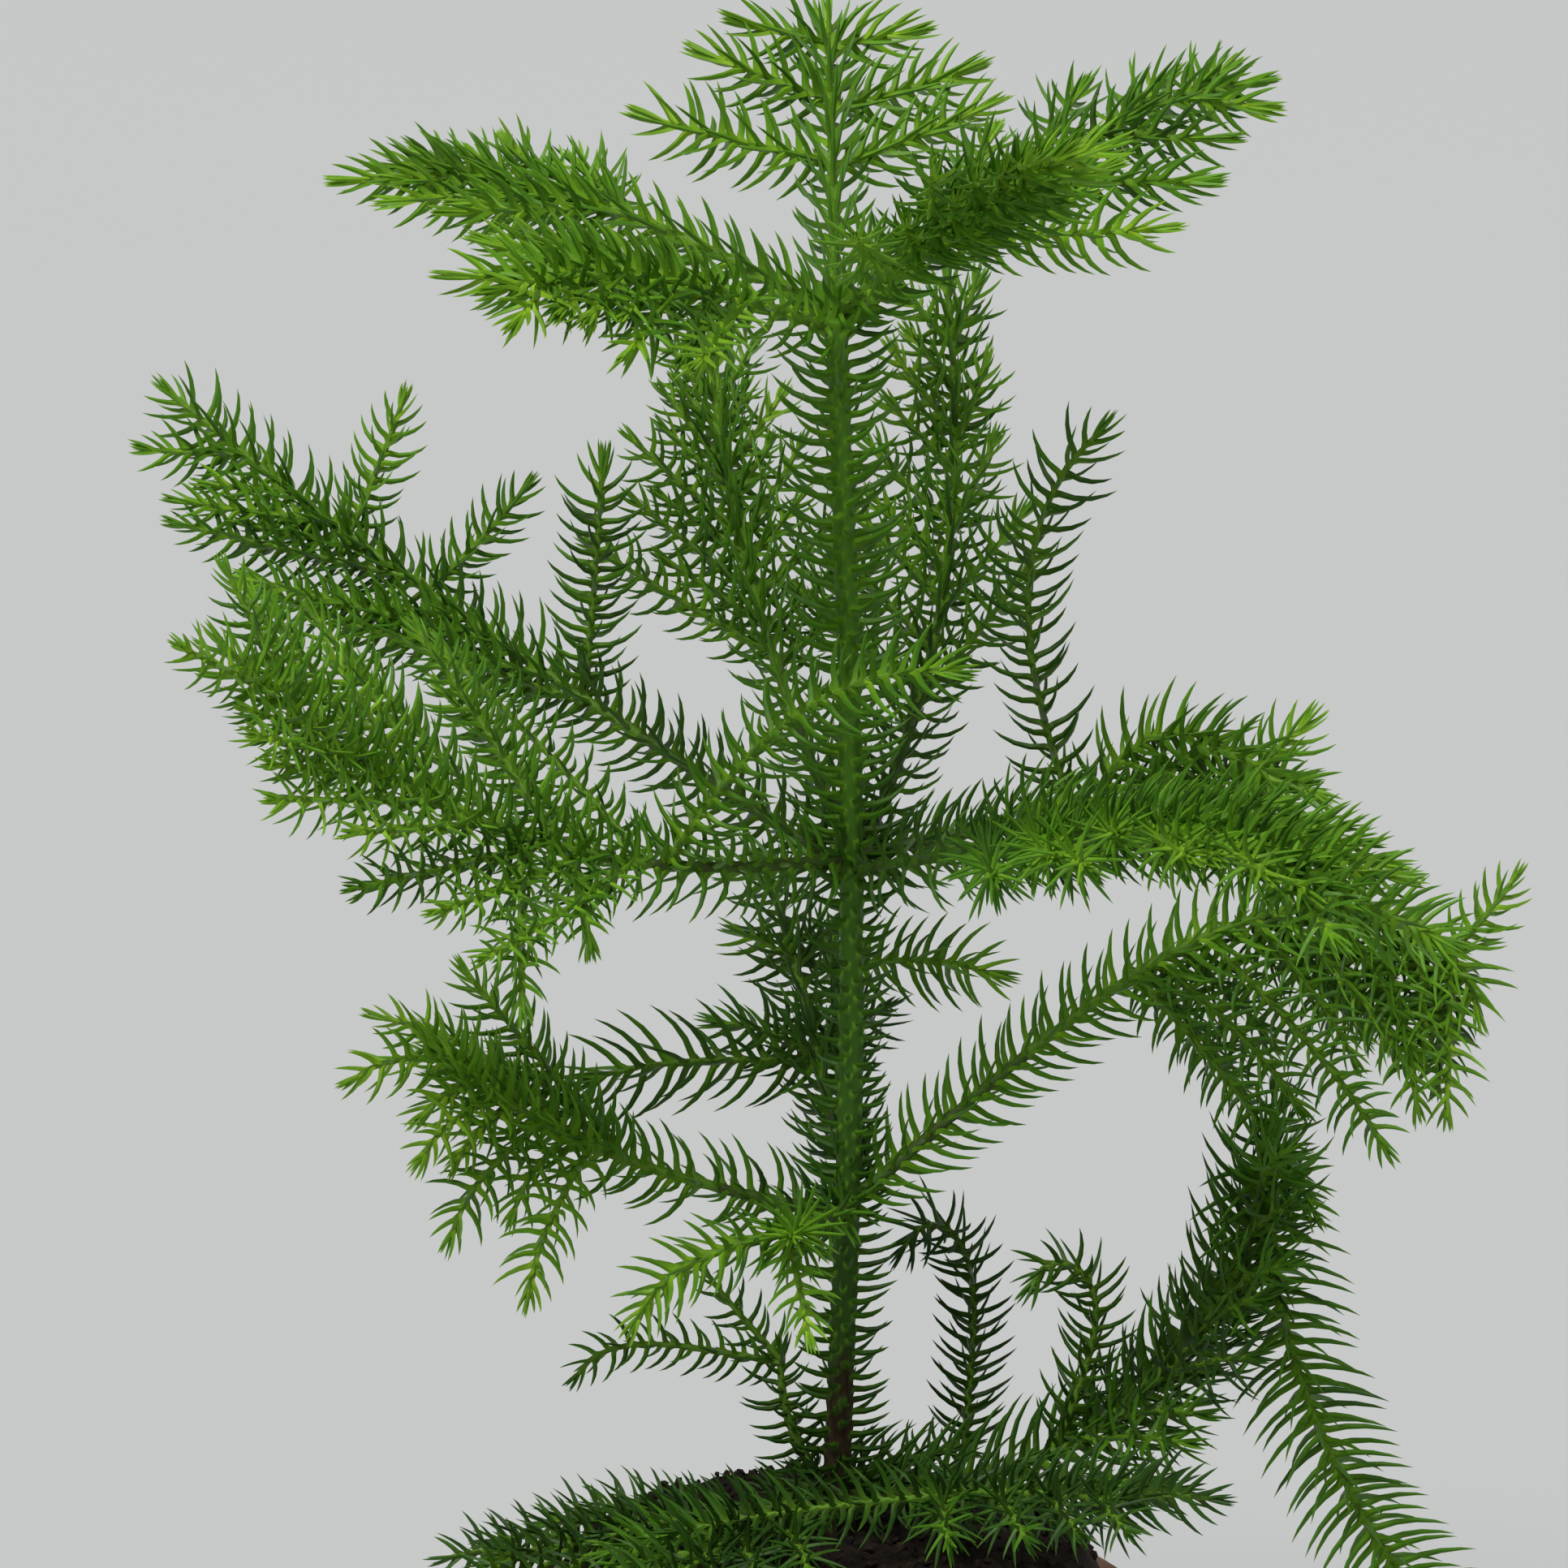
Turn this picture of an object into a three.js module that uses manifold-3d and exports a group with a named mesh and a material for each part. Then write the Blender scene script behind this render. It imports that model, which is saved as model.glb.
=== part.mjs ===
// A young Norfolk Island pine, about 245 mm tall, growing in a plain clay pot.
// Millimetres and degrees. +Z is up, the origin is the middle of the pot's underside,
// +X is to the right and +Y is away from the side that the plant shows best.

import * as THREE from 'three';
import { mergeVertices } from 'three/addons/utils/BufferGeometryUtils.js';
import Module from 'manifold-3d';

const wasm = await Module();
wasm.setup();

// Driving dimensions

const clearance = 0.3;          // gap that touching pieces keep

const pot = {
  height: 88,
  rimRadius: 50,
  rimBand: 19,                  // height of the thickened band under the rim
  bandStep: 3,                  // how far the band stands out from the body
  bandTaper: 0.7,
  baseRadius: 36,
  wall: 5,
  rimWall: 5.5,
  floor: 7,
  round: 1.4,                   // edge rounding
  segments: 36,
};

const soil = {
  top: 99.7,
  flat: 12,                     // radius of the level patch round the trunk
  shoulderRadius: 39,
  shoulderDrop: 1.9,
  edgeDrop: 12.5,               // how far the heap falls from its top to the pot's wall
  segments: 28,
};

const trunk = {
  foot: 100,
  budBase: 294.5,
  tip: 301.5,
  footRadius: 2,
  topRadius: 1.5,
  flare: 1.3,                   // extra radius of the root flare at the foot
  flareHeight: 5,
  bow: 2.6,                     // how far the middle of the trunk leans to +X
  budRadius: 1.9,
  budSwell: 0.4,                // share of the bud's height at which it is widest
  sides: 8,
  rings: 14,
};

const sleeve = { wall: 0.65, pitch: 8.5, needles: [9.5, 6, 6.5], lean: 76, whorlGap: 5 };

const limb = {
  boughRadius: 1.25,            // where a bough leaves the trunk
  stemRadius: 1,                // where a frond's stem begins
  twigRadius: 0.85,
  tipShare: 0.62,               // radius left at a limb's end
  boughSides: 5,
  boughSteps: 4,
  boughStop: 0.07,              // a bough ends this share of its length before the first twigs
  stemSteps: 12,
  shortest: 9,                  // a twig that would be cut shorter than this is left out
  stagger: 2.7,                 // every second bough of a whorl leaves the trunk this much higher
};

const spray = {
  pitch: 17,                    // along a stem, from one ring of six needles to the next
  ring: 1.6,                    // length of stem that a ring of needles covers
  place: 0.62,                  // where in its pitch a ring of needles stands
  twist: 37,                    // turn from one ring of needles to the next
  lean: 60,                     // angle between a needle and its stem
  leanAtTip: 36,
  shortTip: 0.62,               // needle length left at a stem's tip
  reach: 0.6,                   // radius that a needle needs to itself
  budShare: 0.4,                // length of the pointed end of a stem, as a share of a needle
  sunk: 0.25,                   // share of a needle that stands within its own limb's space
};

// How the boughs grow. A frond is a stem with pairs of twigs, and a bough may have a few further
// twigs of its own. Headings run from +X towards +Y. Each whorl gives its usual values, and a
// bough names only what differs.

const usual = {
  drop: 0, sag: 0, bend: 2, swing: 0, pairs: 4, first: 0.3, last: 0.88, twig: 20, fade: 0.6, spread: 50,
  skew: 0, narrow: 0.3, lift: 0, tilt: 0, twigSag: 0, curl: 0.2, side: 0, needle: 9.5, extras: [],
};

const whorls = [
  {
    name: 'top', height: 292.5, hasBoughs: false,
    growth: { twig: 30, fade: 0.62, last: 0.86, spread: 52, lift: 4, needle: 8.5 },
    boughs: {
      back: {
        heading: 91, rise: 36, length: 70, pairs: 3, first: 0.53, last: 0.92, twig: 31, fade: 0.64,
        spread: 66, narrow: -0.22, needle: 9.5,
      },
      left_back: {
        heading: 155, rise: 22, sag: 25, length: 78, pairs: 3, first: 0.52, twig: 23, fade: 0.4, lift: -4,
        tilt: -12,
      },
      front_left: { heading: 222, rise: 20, sag: 27, length: 68, lift: -12, tilt: -20, twig: 31 },
      front_right: { heading: -50, rise: 32, sag: 7, length: 58 },
      right_back: { heading: 25, rise: 37, sag: 33, length: 80, lift: -12, tilt: 16 },
    },
  },
  {
    name: 'upper', height: 207, hasBoughs: true,
    growth: { pairs: 5, twig: 34, fade: 0.55, first: 0.32, last: 0.9, spread: 52, lift: 12 },
    boughs: {
      left_back: {
        heading: 155, rise: 26.5, sag: -8, length: 137, first: 0.36, last: 0.88, spread: 22, narrow: -0.9,
        lift: -30, twig: 56, fade: 0.74, side: 1,
        extras: [
          { at: 0.38, heading: 70, rise: 76, length: 36, sag: -4 },
          { at: 0.61, heading: 20, rise: 42, length: 22, sag: -6 },
          { at: 0.73, heading: 32, rise: 62, length: 22, sag: -6 },
        ],
      },
      front_left: {
        heading: 212, rise: -3, sag: -50, bend: 1, length: 122, skew: -14, lift: 6, tilt: -36, twig: 46,
        fade: 0.5,
        extras: [
          { at: 0.28, heading: -22, rise: 56, length: 58, sag: 60, swing: 12 },
          { at: 0.5, heading: 272, rise: -22, length: 36, sag: 34 },
          { at: 0.42, heading: 280, rise: -20, length: 20, sag: 44 },
        ],
      },
      front_right: { heading: -42, rise: 16, sag: 58, bend: 4, length: 102, fade: 0.4, lift: -2 },
      right: {
        heading: 12, rise: 8, sag: 6, length: 72, pairs: 3, spread: 60, lift: 40, twigSag: 80, twig: 24,
        side: -1,
        extras: [
          { at: 0.5, heading: 165, rise: 71, length: 64, sag: -66 },
          { at: 0.54, heading: 5, rise: 74, length: 33, sag: 140, bend: 1.3 },
          { at: 0.66, heading: -22, rise: 66, length: 28, sag: 130, bend: 1.3 },
          { at: 0.86, heading: 20, rise: 40, length: 15, sag: 0 },
        ],
      },
      back_right: {
        heading: 63, swing: 34, rise: 36, sag: -18, length: 120, twig: 27, spread: 44, skew: 14,
      },
      back_left: {
        heading: 113, swing: -16, rise: 34, sag: -10, length: 110, first: 0.4, twig: 31, fade: 0.6,
      },
    },
  },
  {
    name: 'middle', height: 153, hasBoughs: true,
    growth: { pairs: 5, twig: 30, fade: 0.5, first: 0.38, last: 0.92, spread: 55, lift: -10, twigSag: 30 },
    boughs: {
      right: {
        heading: 8, rise: 40, sag: 118, bend: 3.5, length: 123, first: 0.48, spread: 78, narrow: 0.4,
        lift: -66, tilt: 14, twigSag: 16, twig: 46, fade: 0.45,
        extras: [{ at: 0.92, heading: 22, rise: 40, length: 15, sag: -14 }],
      },
      left: {
        heading: 188, drop: 4.5, rise: 14, sag: -33, length: 73, pairs: 4, first: 0.58, last: 0.92,
        spread: 62, skew: 16, narrow: 0.5, lift: -8, tilt: -40, twigSag: 44, twig: 27, fade: 0.45,
        extras: [{ at: 0.5, heading: 160, rise: 46, length: 38, sag: 0 }],
      },
      front: {
        heading: 262, swing: -80, rise: 4, sag: 77, bend: 4, length: 53, pairs: 2, twig: 6,
        extras: [
          { at: 0.43, heading: 285, rise: -40, length: 18, sag: 16 },
          { at: 0.36, heading: 262, rise: 8, length: 13, sag: 0 },
        ],
      },
      back_left: {
        heading: 106, rise: 48, sag: 22, length: 64, pairs: 3, twig: 14, lift: 10,
        extras: [{ at: 0.36, heading: 186, rise: 4, length: 36, sag: 20 }],
      },
      back_right: {
        heading: 93, rise: 46, sag: 44, length: 62, pairs: 2, twig: 6,
        extras: [{ at: 0.8, heading: 8, rise: 6, length: 26, sag: 30 }],
      },
    },
  },
  {
    name: 'lower', height: 105.4, hasBoughs: true,
    growth: { twig: 24, fade: 0.4, first: 0.4, last: 0.92, spread: 55, twigSag: 15, needle: 8 },
    boughs: {
      left: { heading: 195, rise: -5, sag: 4, length: 55 },
      right: {
        heading: 4, rise: -12, sag: -102, bend: 1, length: 100, needle: 12,
        extras: [
          { at: 0.96, heading: -30, rise: -88, length: 84, sag: -46, bend: 1 },
          { at: 0.36, heading: 14, rise: 70, length: 40, sag: -185, bend: 4 },
        ],
      },
      back: {
        heading: 145, rise: 32, sag: -63, bend: 1, length: 25, pairs: 2, twig: 6,
        extras: [
          { at: 0.97, heading: 165, rise: 45, length: 17, sag: -7 },
          { at: 0.95, heading: 178, rise: 10, length: 34, sag: 70, bend: 4 },
        ],
      },
      back_right: {
        heading: 48, rise: -3, sag: 0, length: 33, pairs: 2, twig: 6,
        extras: [{ at: 0.95, heading: 40, rise: 84, length: 49, sag: -158, bend: 4 }],
      },
      front_right: {
        heading: -38, rise: 12, sag: 6, length: 57, twig: 25,
        extras: [{ at: 0.5, heading: 196, rise: 0, length: 50, sag: 8 }],
      },
      front: { heading: 238, rise: -2, sag: 8, length: 50 },
    },
  },
];

const firstSeed = 11;
const seedStep = 7;

// How far single twigs stray from the rule, and the straight steps that paths are drawn with.
const stray = { pairOffset: 0.012, place: 0.015, spread: 6, lift: 8, length: 0.12 };
const steps = { bough: 14, twig: 6, extraTwig: 8 };

// Materials

const materials = {
  clay: new THREE.MeshStandardMaterial({ color: 0xa9694a, roughness: 0.88, metalness: 0 }),
  peat: new THREE.MeshStandardMaterial({ color: 0x2a211a, roughness: 0.97, metalness: 0 }),
  bark: new THREE.MeshStandardMaterial({ color: 0x5d6b34, roughness: 0.8, metalness: 0 }),
  needles: new THREE.MeshStandardMaterial({ color: 0x3f6f24, roughness: 0.6, metalness: 0 }),
  youngNeedles: new THREE.MeshStandardMaterial({ color: 0x5c9431, roughness: 0.6, metalness: 0 }),
};

// Seeded draws, the same on every run

class Draws {
  constructor(seed) {
    this.state = seed;
  }

  next() {
    this.state = Number((BigInt(this.state) * 1664525n + 1013904223n) % 4294967296n);
    return this.state / 4294967296;
  }

  spread(width) {
    return (2 * this.next() - 1) * width;
  }
}

// Paths

const radians = THREE.MathUtils.degToRad;
const degrees = THREE.MathUtils.radToDeg;
const up = new THREE.Vector3(0, 0, 1);
const nearlyUpright = 0.95;

function direction(heading, pitch) {
  const flat = Math.cos(radians(pitch));
  return new THREE.Vector3(
    flat * Math.cos(radians(heading)), flat * Math.sin(radians(heading)), Math.sin(radians(pitch)),
  );
}

// A limb's path: it leaves at its rise and bends by its sag, the later the greater its bend is.
function limbPath(start, { heading, rise, length, sag, swing = 0, bend = 2 }, count) {
  const points = [start.clone()];
  for (let i = 0; i < count; i += 1) {
    const t = (i + 0.5) / count;
    const step = direction(heading + swing * t, rise - sag * t ** bend).multiplyScalar(length / count);
    points.push(points[i].clone().add(step));
  }
  return points;
}

function pathLength(path) {
  return path.slice(1).reduce((sum, point, i) => sum + point.distanceTo(path[i]), 0);
}

// The point and direction at a share t of a path whose steps are equally long.
function pathAt(path, t) {
  const place = t * (path.length - 1);
  const i = Math.min(Math.floor(place), path.length - 2);
  const along = path[i + 1].clone().sub(path[i]);
  return { point: path[i].clone().addScaledVector(along, place - i), along: along.normalize() };
}

function trunkPoint(height) {
  const t = (height - trunk.foot) / (trunk.budBase - trunk.foot);
  return new THREE.Vector3(trunk.bow * Math.sin(Math.PI * t), 0, height);
}

function trunkRadius(height) {
  const t = (height - trunk.foot) / (trunk.budBase - trunk.foot);
  const flare = trunk.flare * Math.exp((trunk.foot - height) / trunk.flareHeight);
  return THREE.MathUtils.lerp(trunk.footRadius, trunk.topRadius, t) + flare;
}

// Solids

function solidOf(geometry) {
  const bare = geometry.clone();
  bare.deleteAttribute('normal');
  bare.deleteAttribute('uv');
  const merged = mergeVertices(bare, 1e-4);
  const corners = [];
  for (let i = 0; i < merged.index.count; i += 3) {
    const [a, b, c] = [0, 1, 2].map((k) => merged.index.getX(i + k));
    if (a !== b && b !== c && c !== a) corners.push(a, b, c);
  }
  return new wasm.Manifold(new wasm.Mesh({
    numProp: 3,
    vertProperties: new Float32Array(merged.attributes.position.array),
    triVerts: new Uint32Array(corners),
  }));
}

// The largest body of a solid, without scraps or sealed hollows.
function largestBody(solid) {
  return solid.decompose().reduce((best, piece) => (piece.volume() > best.volume() ? piece : best));
}

function geometryOf(solid) {
  const mesh = solid.getMesh();
  const geometry = new THREE.BufferGeometry();
  geometry.setAttribute('position', new THREE.BufferAttribute(mesh.vertProperties, 3));
  geometry.setIndex(new THREE.BufferAttribute(mesh.triVerts, 1));
  return geometry;
}

// Points and triangles that grow into one closed shape.
class Shell {
  constructor() {
    this.points = [];
    this.corners = [];
  }

  ring(center, along, radius, turn, sides) {
    const reference = Math.abs(along.z) > nearlyUpright ? new THREE.Vector3(0, 1, 0) : up;
    const side = new THREE.Vector3().crossVectors(reference, along).normalize();
    const over = new THREE.Vector3().crossVectors(along, side);
    const indices = [];
    for (let k = 0; k < sides; k += 1) {
      const angle = radians(turn + (360 * k) / sides);
      const point = center.clone()
        .addScaledVector(side, radius * Math.cos(angle))
        .addScaledVector(over, radius * Math.sin(angle));
      indices.push(this.point(point));
    }
    return indices;
  }

  point(place) {
    this.points.push(place);
    return this.points.length - 1;
  }

  triangle(a, b, c) {
    this.corners.push(a, b, c);
  }

  // A needle that stands on a triangle, or the bare triangle where there is no tip.
  spike(a, b, c, tip) {
    if (!tip) {
      this.triangle(a, b, c);
      return;
    }
    const end = this.point(tip);
    this.triangle(a, b, end);
    this.triangle(b, c, end);
    this.triangle(c, a, end);
  }

  // Joins two rings, where each ring may be turned by up to half a side from the other.
  band(low, high, tipFor = () => null) {
    const sides = low.length;
    for (let k = 0; k < sides; k += 1) {
      const next = (k + 1) % sides;
      const lower = [low[k], low[next], high[k]];
      const upper = [low[next], high[next], high[k]];
      this.spike(...lower, tipFor(lower, 2 * k));
      this.spike(...upper, tipFor(upper, 2 * k + 1));
    }
  }

  cap(ring, facesForward) {
    for (let k = 1; k < ring.length - 1; k += 1) {
      if (facesForward) this.triangle(ring[0], ring[k], ring[k + 1]);
      else this.triangle(ring[0], ring[k + 1], ring[k]);
    }
  }

  cone(ring, tip) {
    const end = this.point(tip);
    ring.forEach((corner, k) => this.triangle(corner, ring[(k + 1) % ring.length], end));
  }

  middle(triangle) {
    return triangle
      .reduce((sum, i) => sum.add(this.points[i]), new THREE.Vector3())
      .divideScalar(triangle.length);
  }

  geometry() {
    const geometry = new THREE.BufferGeometry().setFromPoints(this.points);
    geometry.setIndex(this.corners);
    return geometry;
  }
}

// Space that is taken: straight pieces with a radius, each held by one limb of a node

const taken = [];

function claim(node, from, to, radius, limbName = node) {
  const middle = from.clone().add(to).multiplyScalar(0.5);
  taken.push({ node, limbName, from, to, radius, middle, half: from.distanceTo(to) / 2 });
}

// The least distance between two straight pieces, found by moving along each in turn.
function segmentDistance(a, b, c, d) {
  const first = b.clone().sub(a);
  const second = d.clone().sub(c);
  const between = a.clone().sub(c);
  const aa = first.dot(first);
  const bb = second.dot(second);
  const ab = first.dot(second);
  const af = first.dot(between);
  const bf = second.dot(between);
  const slope = aa * bb - ab * ab;
  let s = slope > 1e-9 ? THREE.MathUtils.clamp((ab * bf - af * bb) / slope, 0, 1) : 0;
  const t = THREE.MathUtils.clamp((ab * s + bf) / bb, 0, 1);
  s = THREE.MathUtils.clamp((ab * t - af) / aa, 0, 1);
  return between.addScaledVector(first, s).addScaledVector(second, -t).length();
}

function soilHeight(radius) {
  const wallRadius = potInnerRadius(soil.top - soil.edgeDrop);
  if (radius > wallRadius) return soil.top - soil.edgeDrop;
  if (radius > soil.shoulderRadius) {
    const t = (radius - soil.shoulderRadius) / (wallRadius - soil.shoulderRadius);
    return soil.top - THREE.MathUtils.lerp(soil.shoulderDrop, soil.edgeDrop, t ** 1.5);
  }
  const t = Math.max(0, radius - soil.flat) / (soil.shoulderRadius - soil.flat);
  return soil.top - soil.shoulderDrop * t * t;
}

// True where a point with some radius stays above the soil and outside the pot.
function clearOfPot(point, radius) {
  const out = Math.hypot(point.x, point.y);
  const floor = out < pot.rimRadius - pot.wall ? soilHeight(out) : pot.height;
  return out > pot.rimRadius + radius + clearance || point.z > floor + radius + clearance;
}

// True where a straight piece keeps clear of the pot and of all that is taken, but for what it may touch.
function isClear(from, to, radius, mayTouch) {
  const middle = from.clone().add(to).multiplyScalar(0.5);
  const half = from.distanceTo(to) / 2;
  if (![from, middle, to].every((point) => clearOfPot(point, radius))) return false;
  return taken.every((other) => {
    const room = radius + other.radius + clearance;
    if (mayTouch(other)) return true;
    if (middle.distanceTo(other.middle) > half + other.half + room) return true;
    return segmentDistance(from, to, other.from, other.to) > room;
  });
}

// A needle's tip, or null where the needle would touch another limb or needle. Its root is sunk in its
// own limb, so it is tested from a little way out.
function clearTip(node, limbName, root, out, along, length, lean) {
  const tip = root.clone()
    .addScaledVector(out, length * Math.sin(radians(lean)))
    .addScaledVector(along, length * Math.cos(radians(lean)));
  const from = root.clone().lerp(tip, spray.sunk);
  const ownLimb = (other) => other.node === node && other.limbName === limbName;
  if (!isClear(from, tip, spray.reach, ownLimb)) return null;
  claim(node, from, tip, spray.reach, limbName);
  return tip;
}

// Pot and soil

function potOuterRadius(height) {
  const bodyTop = pot.rimRadius - pot.bandStep;
  return THREE.MathUtils.lerp(pot.baseRadius, bodyTop, height / (pot.height - pot.rimBand));
}

function potInnerRadius(height) {
  return THREE.MathUtils.lerp(
    pot.baseRadius - pot.wall, pot.rimRadius - pot.rimWall, (height - pot.floor) / (pot.height - pot.floor),
  );
}

function lathe(profile, segments) {
  const points = profile.map(([radius, height]) => new THREE.Vector2(radius, height));
  return geometryOf(solidOf(new THREE.LatheGeometry(points, segments).rotateX(Math.PI / 2)));
}

function potGeometry() {
  const bandFoot = pot.height - pot.rimBand;
  const { rimRadius, height, round, floor } = pot;
  return lathe([
    [0, 0],
    [pot.baseRadius - round, 0],
    [potOuterRadius(round), round],
    [potOuterRadius(bandFoot), bandFoot],
    [rimRadius - pot.bandTaper, bandFoot + pot.bandTaper],
    [rimRadius, height - round],
    [rimRadius - round, height],
    [potInnerRadius(height) + round, height],
    [potInnerRadius(height - round), height - round],
    [potInnerRadius(floor + round), floor + round],
    [potInnerRadius(floor) - round, floor],
    [0, floor],
  ], pot.segments);
}

function soilGeometry() {
  const gap = 1.5 * clearance;     // the facets of pot and soil are turned against each other
  const edge = soil.top - soil.edgeDrop;
  const { flat, shoulderRadius, top } = soil;
  const wallRadius = potInnerRadius(edge) - gap;
  const bend = THREE.MathUtils.lerp(shoulderRadius, wallRadius, 0.5);
  return lathe([
    [0, pot.floor + clearance],
    [potInnerRadius(pot.floor) - pot.round - gap, pot.floor + clearance],
    [potInnerRadius(pot.floor + pot.round) - gap, pot.floor + pot.round + clearance],
    [wallRadius, edge],
    [bend, soilHeight(bend)],
    [shoulderRadius, soilHeight(shoulderRadius)],
    [(flat + shoulderRadius) / 2, soilHeight((flat + shoulderRadius) / 2)],
    [flat, top],
    [0, top],
  ], soil.segments);
}

// Trunk, from a flat cut on the soil to its bud

function trunkGeometry() {
  const shell = new Shell();
  const heights = [trunk.foot, trunk.foot + trunk.flareHeight / 2];
  for (let i = 1; i <= trunk.rings; i += 1) {
    heights.push(THREE.MathUtils.lerp(trunk.foot, trunk.budBase, i / trunk.rings));
  }
  const rings = heights.map((z) => shell.ring(trunkPoint(z), up, trunkRadius(z), 0, trunk.sides));
  const swell = THREE.MathUtils.lerp(trunk.budBase, trunk.tip, trunk.budSwell);
  rings.push(shell.ring(trunkPoint(trunk.budBase).setZ(swell), up, trunk.budRadius, 0, trunk.sides));
  shell.cap(rings[0], false);
  for (let i = 1; i < rings.length; i += 1) shell.band(rings[i - 1], rings[i]);
  shell.cone(rings[rings.length - 1], trunkPoint(trunk.budBase).setZ(trunk.tip));
  for (let i = 1; i < heights.length; i += 1) {
    claim('trunk', trunkPoint(heights[i - 1]), trunkPoint(heights[i]), trunkRadius(heights[i - 1]));
  }
  claim('trunk', trunkPoint(trunk.budBase), trunkPoint(trunk.tip), trunk.budRadius);
  return shell.geometry();
}

// Needles of the trunk: a thin sleeve round it from one whorl to the next, with rings of needles

function sleeveSpan(name, low, high, needle) {
  const count = Math.max(1, Math.round((high - low) / sleeve.pitch));
  const heights = Array.from({ length: count + 1 }, (_, i) => THREE.MathUtils.lerp(low, high, i / count));
  for (let i = 1; i < heights.length; i += 1) {
    const radius = trunkRadius(heights[i - 1]) + clearance + sleeve.wall;
    claim(name, trunkPoint(heights[i - 1]), trunkPoint(heights[i]), radius);
  }
  return { name, heights, needle };
}

function sleeveGeometry({ name, heights, needle }) {
  const shell = new Shell();
  const halfSide = 180 / trunk.sides;
  const inner = heights.map((z) => (
    shell.ring(trunkPoint(z), up, trunkRadius(z) + clearance * 1.15, 0, trunk.sides)
  ));
  const outer = [];
  const ring = (z, turn) => {
    outer.push(shell.ring(trunkPoint(z), up, trunkRadius(z) + clearance + sleeve.wall, turn, trunk.sides));
  };
  ring(heights[0], 0);
  const tipFor = (triangle, k) => {
    if (k % 2 === 1) return null;
    const root = shell.middle(triangle);
    const out = root.clone().sub(trunkPoint(root.z)).normalize();
    return clearTip(name, name, root, out, up, needle, sleeve.lean);
  };
  heights.slice(1).forEach((z, i) => {
    const middle = (heights[i] + z) / 2;
    ring(middle - spray.ring / 2, 2 * i * halfSide);
    shell.band(outer[outer.length - 2], outer[outer.length - 1]);
    ring(middle + spray.ring / 2, (2 * i + 1) * halfSide);
    shell.band(outer[outer.length - 2], outer[outer.length - 1], tipFor);
    ring(z, (2 * i + 2) * halfSide);
    shell.band(outer[outer.length - 2], outer[outer.length - 1]);
  });
  closeSleeve(shell, inner, outer);
  return shell.geometry();
}

// Closes a sleeve along its bore and at both ends. Its outer rings turn by one side at each step.
function closeSleeve(shell, inner, outer) {
  const last = inner.length - 1;
  for (let i = 1; i <= last; i += 1) shell.band(inner[i], inner[i - 1]);
  const topRing = inner[last].map((_, k) => inner[last][(k + last) % trunk.sides]);
  shell.band(inner[0], outer[0]);
  shell.band(outer[outer.length - 1], topRing);
}

// Boughs and fronds

function growthOf(whorl, name, seed) {
  return { ...usual, ...whorl.growth, ...whorl.boughs[name], seed };
}

// The stem of a frond and the paths of its twigs.
function frondPaths(growth, start) {
  const stem = limbPath(start, growth, steps.bough);
  const draws = new Draws(growth.seed);
  const twigs = [];
  for (let k = 0; k < growth.pairs; k += 1) {
    const share = k / Math.max(1, growth.pairs - 1);
    for (const side of [1, -1]) {
      const pairPlace = THREE.MathUtils.lerp(growth.first, growth.last, share);
      const t = pairPlace + side * stray.pairOffset + draws.spread(stray.place);
      const fan = (growth.spread + side * growth.skew) * (1 - growth.narrow * share);
      const spread = fan + draws.spread(stray.spread);
      const lift = growth.lift + side * growth.tilt + draws.spread(stray.lift);
      const length = growth.twig * (1 - growth.fade * share) * (1 + draws.spread(stray.length));
      if (growth.side * side >= 0) twigs.push(twigPath(stem, growth, { t, side, spread, lift, length }));
    }
  }
  for (const extra of growth.extras) {
    twigs.push(limbPath(pathAt(stem, extra.at).point, extra, steps.extraTwig));
  }
  return { stem, twigs };
}

// A twig leaves its stem at an angle, to the left or right of it, and curls towards the stem's heading.
function twigPath(stem, growth, { t, side, spread, lift, length }) {
  const { point, along } = pathAt(stem, t);
  const above = up.clone().addScaledVector(along, -along.z).normalize();
  const left = new THREE.Vector3().crossVectors(above, along);
  const out = left.multiplyScalar(side * Math.cos(radians(lift)));
  out.addScaledVector(above, Math.sin(radians(lift)));
  const leaving = along.clone().multiplyScalar(Math.cos(radians(spread)));
  leaving.addScaledVector(out, Math.sin(radians(spread)));
  const heading = degrees(Math.atan2(leaving.y, leaving.x));
  const rise = degrees(Math.asin(THREE.MathUtils.clamp(leaving.z, -1, 1)));
  const stemHeading = degrees(Math.atan2(along.y, along.x));
  const turn = THREE.MathUtils.euclideanModulo(stemHeading - heading + 180, 360) - 180;
  const path = { heading, rise, length, sag: growth.twigSag, swing: turn * growth.curl };
  return limbPath(point, path, steps.twig);
}

// A share of a path, as a new path of equal steps.
function pathPart(path, from, to, count) {
  const shares = Array.from({ length: count + 1 }, (_, i) => THREE.MathUtils.lerp(from, to, i / count));
  return shares.map((share) => pathAt(path, share).point);
}

// The share of a limb's path at which it comes clear of the trunk.
function startClearOfTrunk(path, length, radius) {
  const { along } = pathAt(path, 0);
  const room = trunkRadius(path[0].z) + 1.3 * clearance + radius * Math.abs(along.z);
  return room / Math.hypot(along.x, along.y) / length;
}

function boughGeometry(path) {
  const shell = new Shell();
  const rings = path.map((point, i) => {
    const t = i / (path.length - 1);
    const radius = THREE.MathUtils.lerp(limb.boughRadius, limb.stemRadius, t);
    return shell.ring(point, pathAt(path, t).along, radius, 0, limb.boughSides);
  });
  shell.cap(rings[0], false);
  for (let i = 1; i < rings.length; i += 1) shell.band(rings[i - 1], rings[i]);
  shell.cap(rings[rings.length - 1], true);
  return shell.geometry();
}

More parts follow.
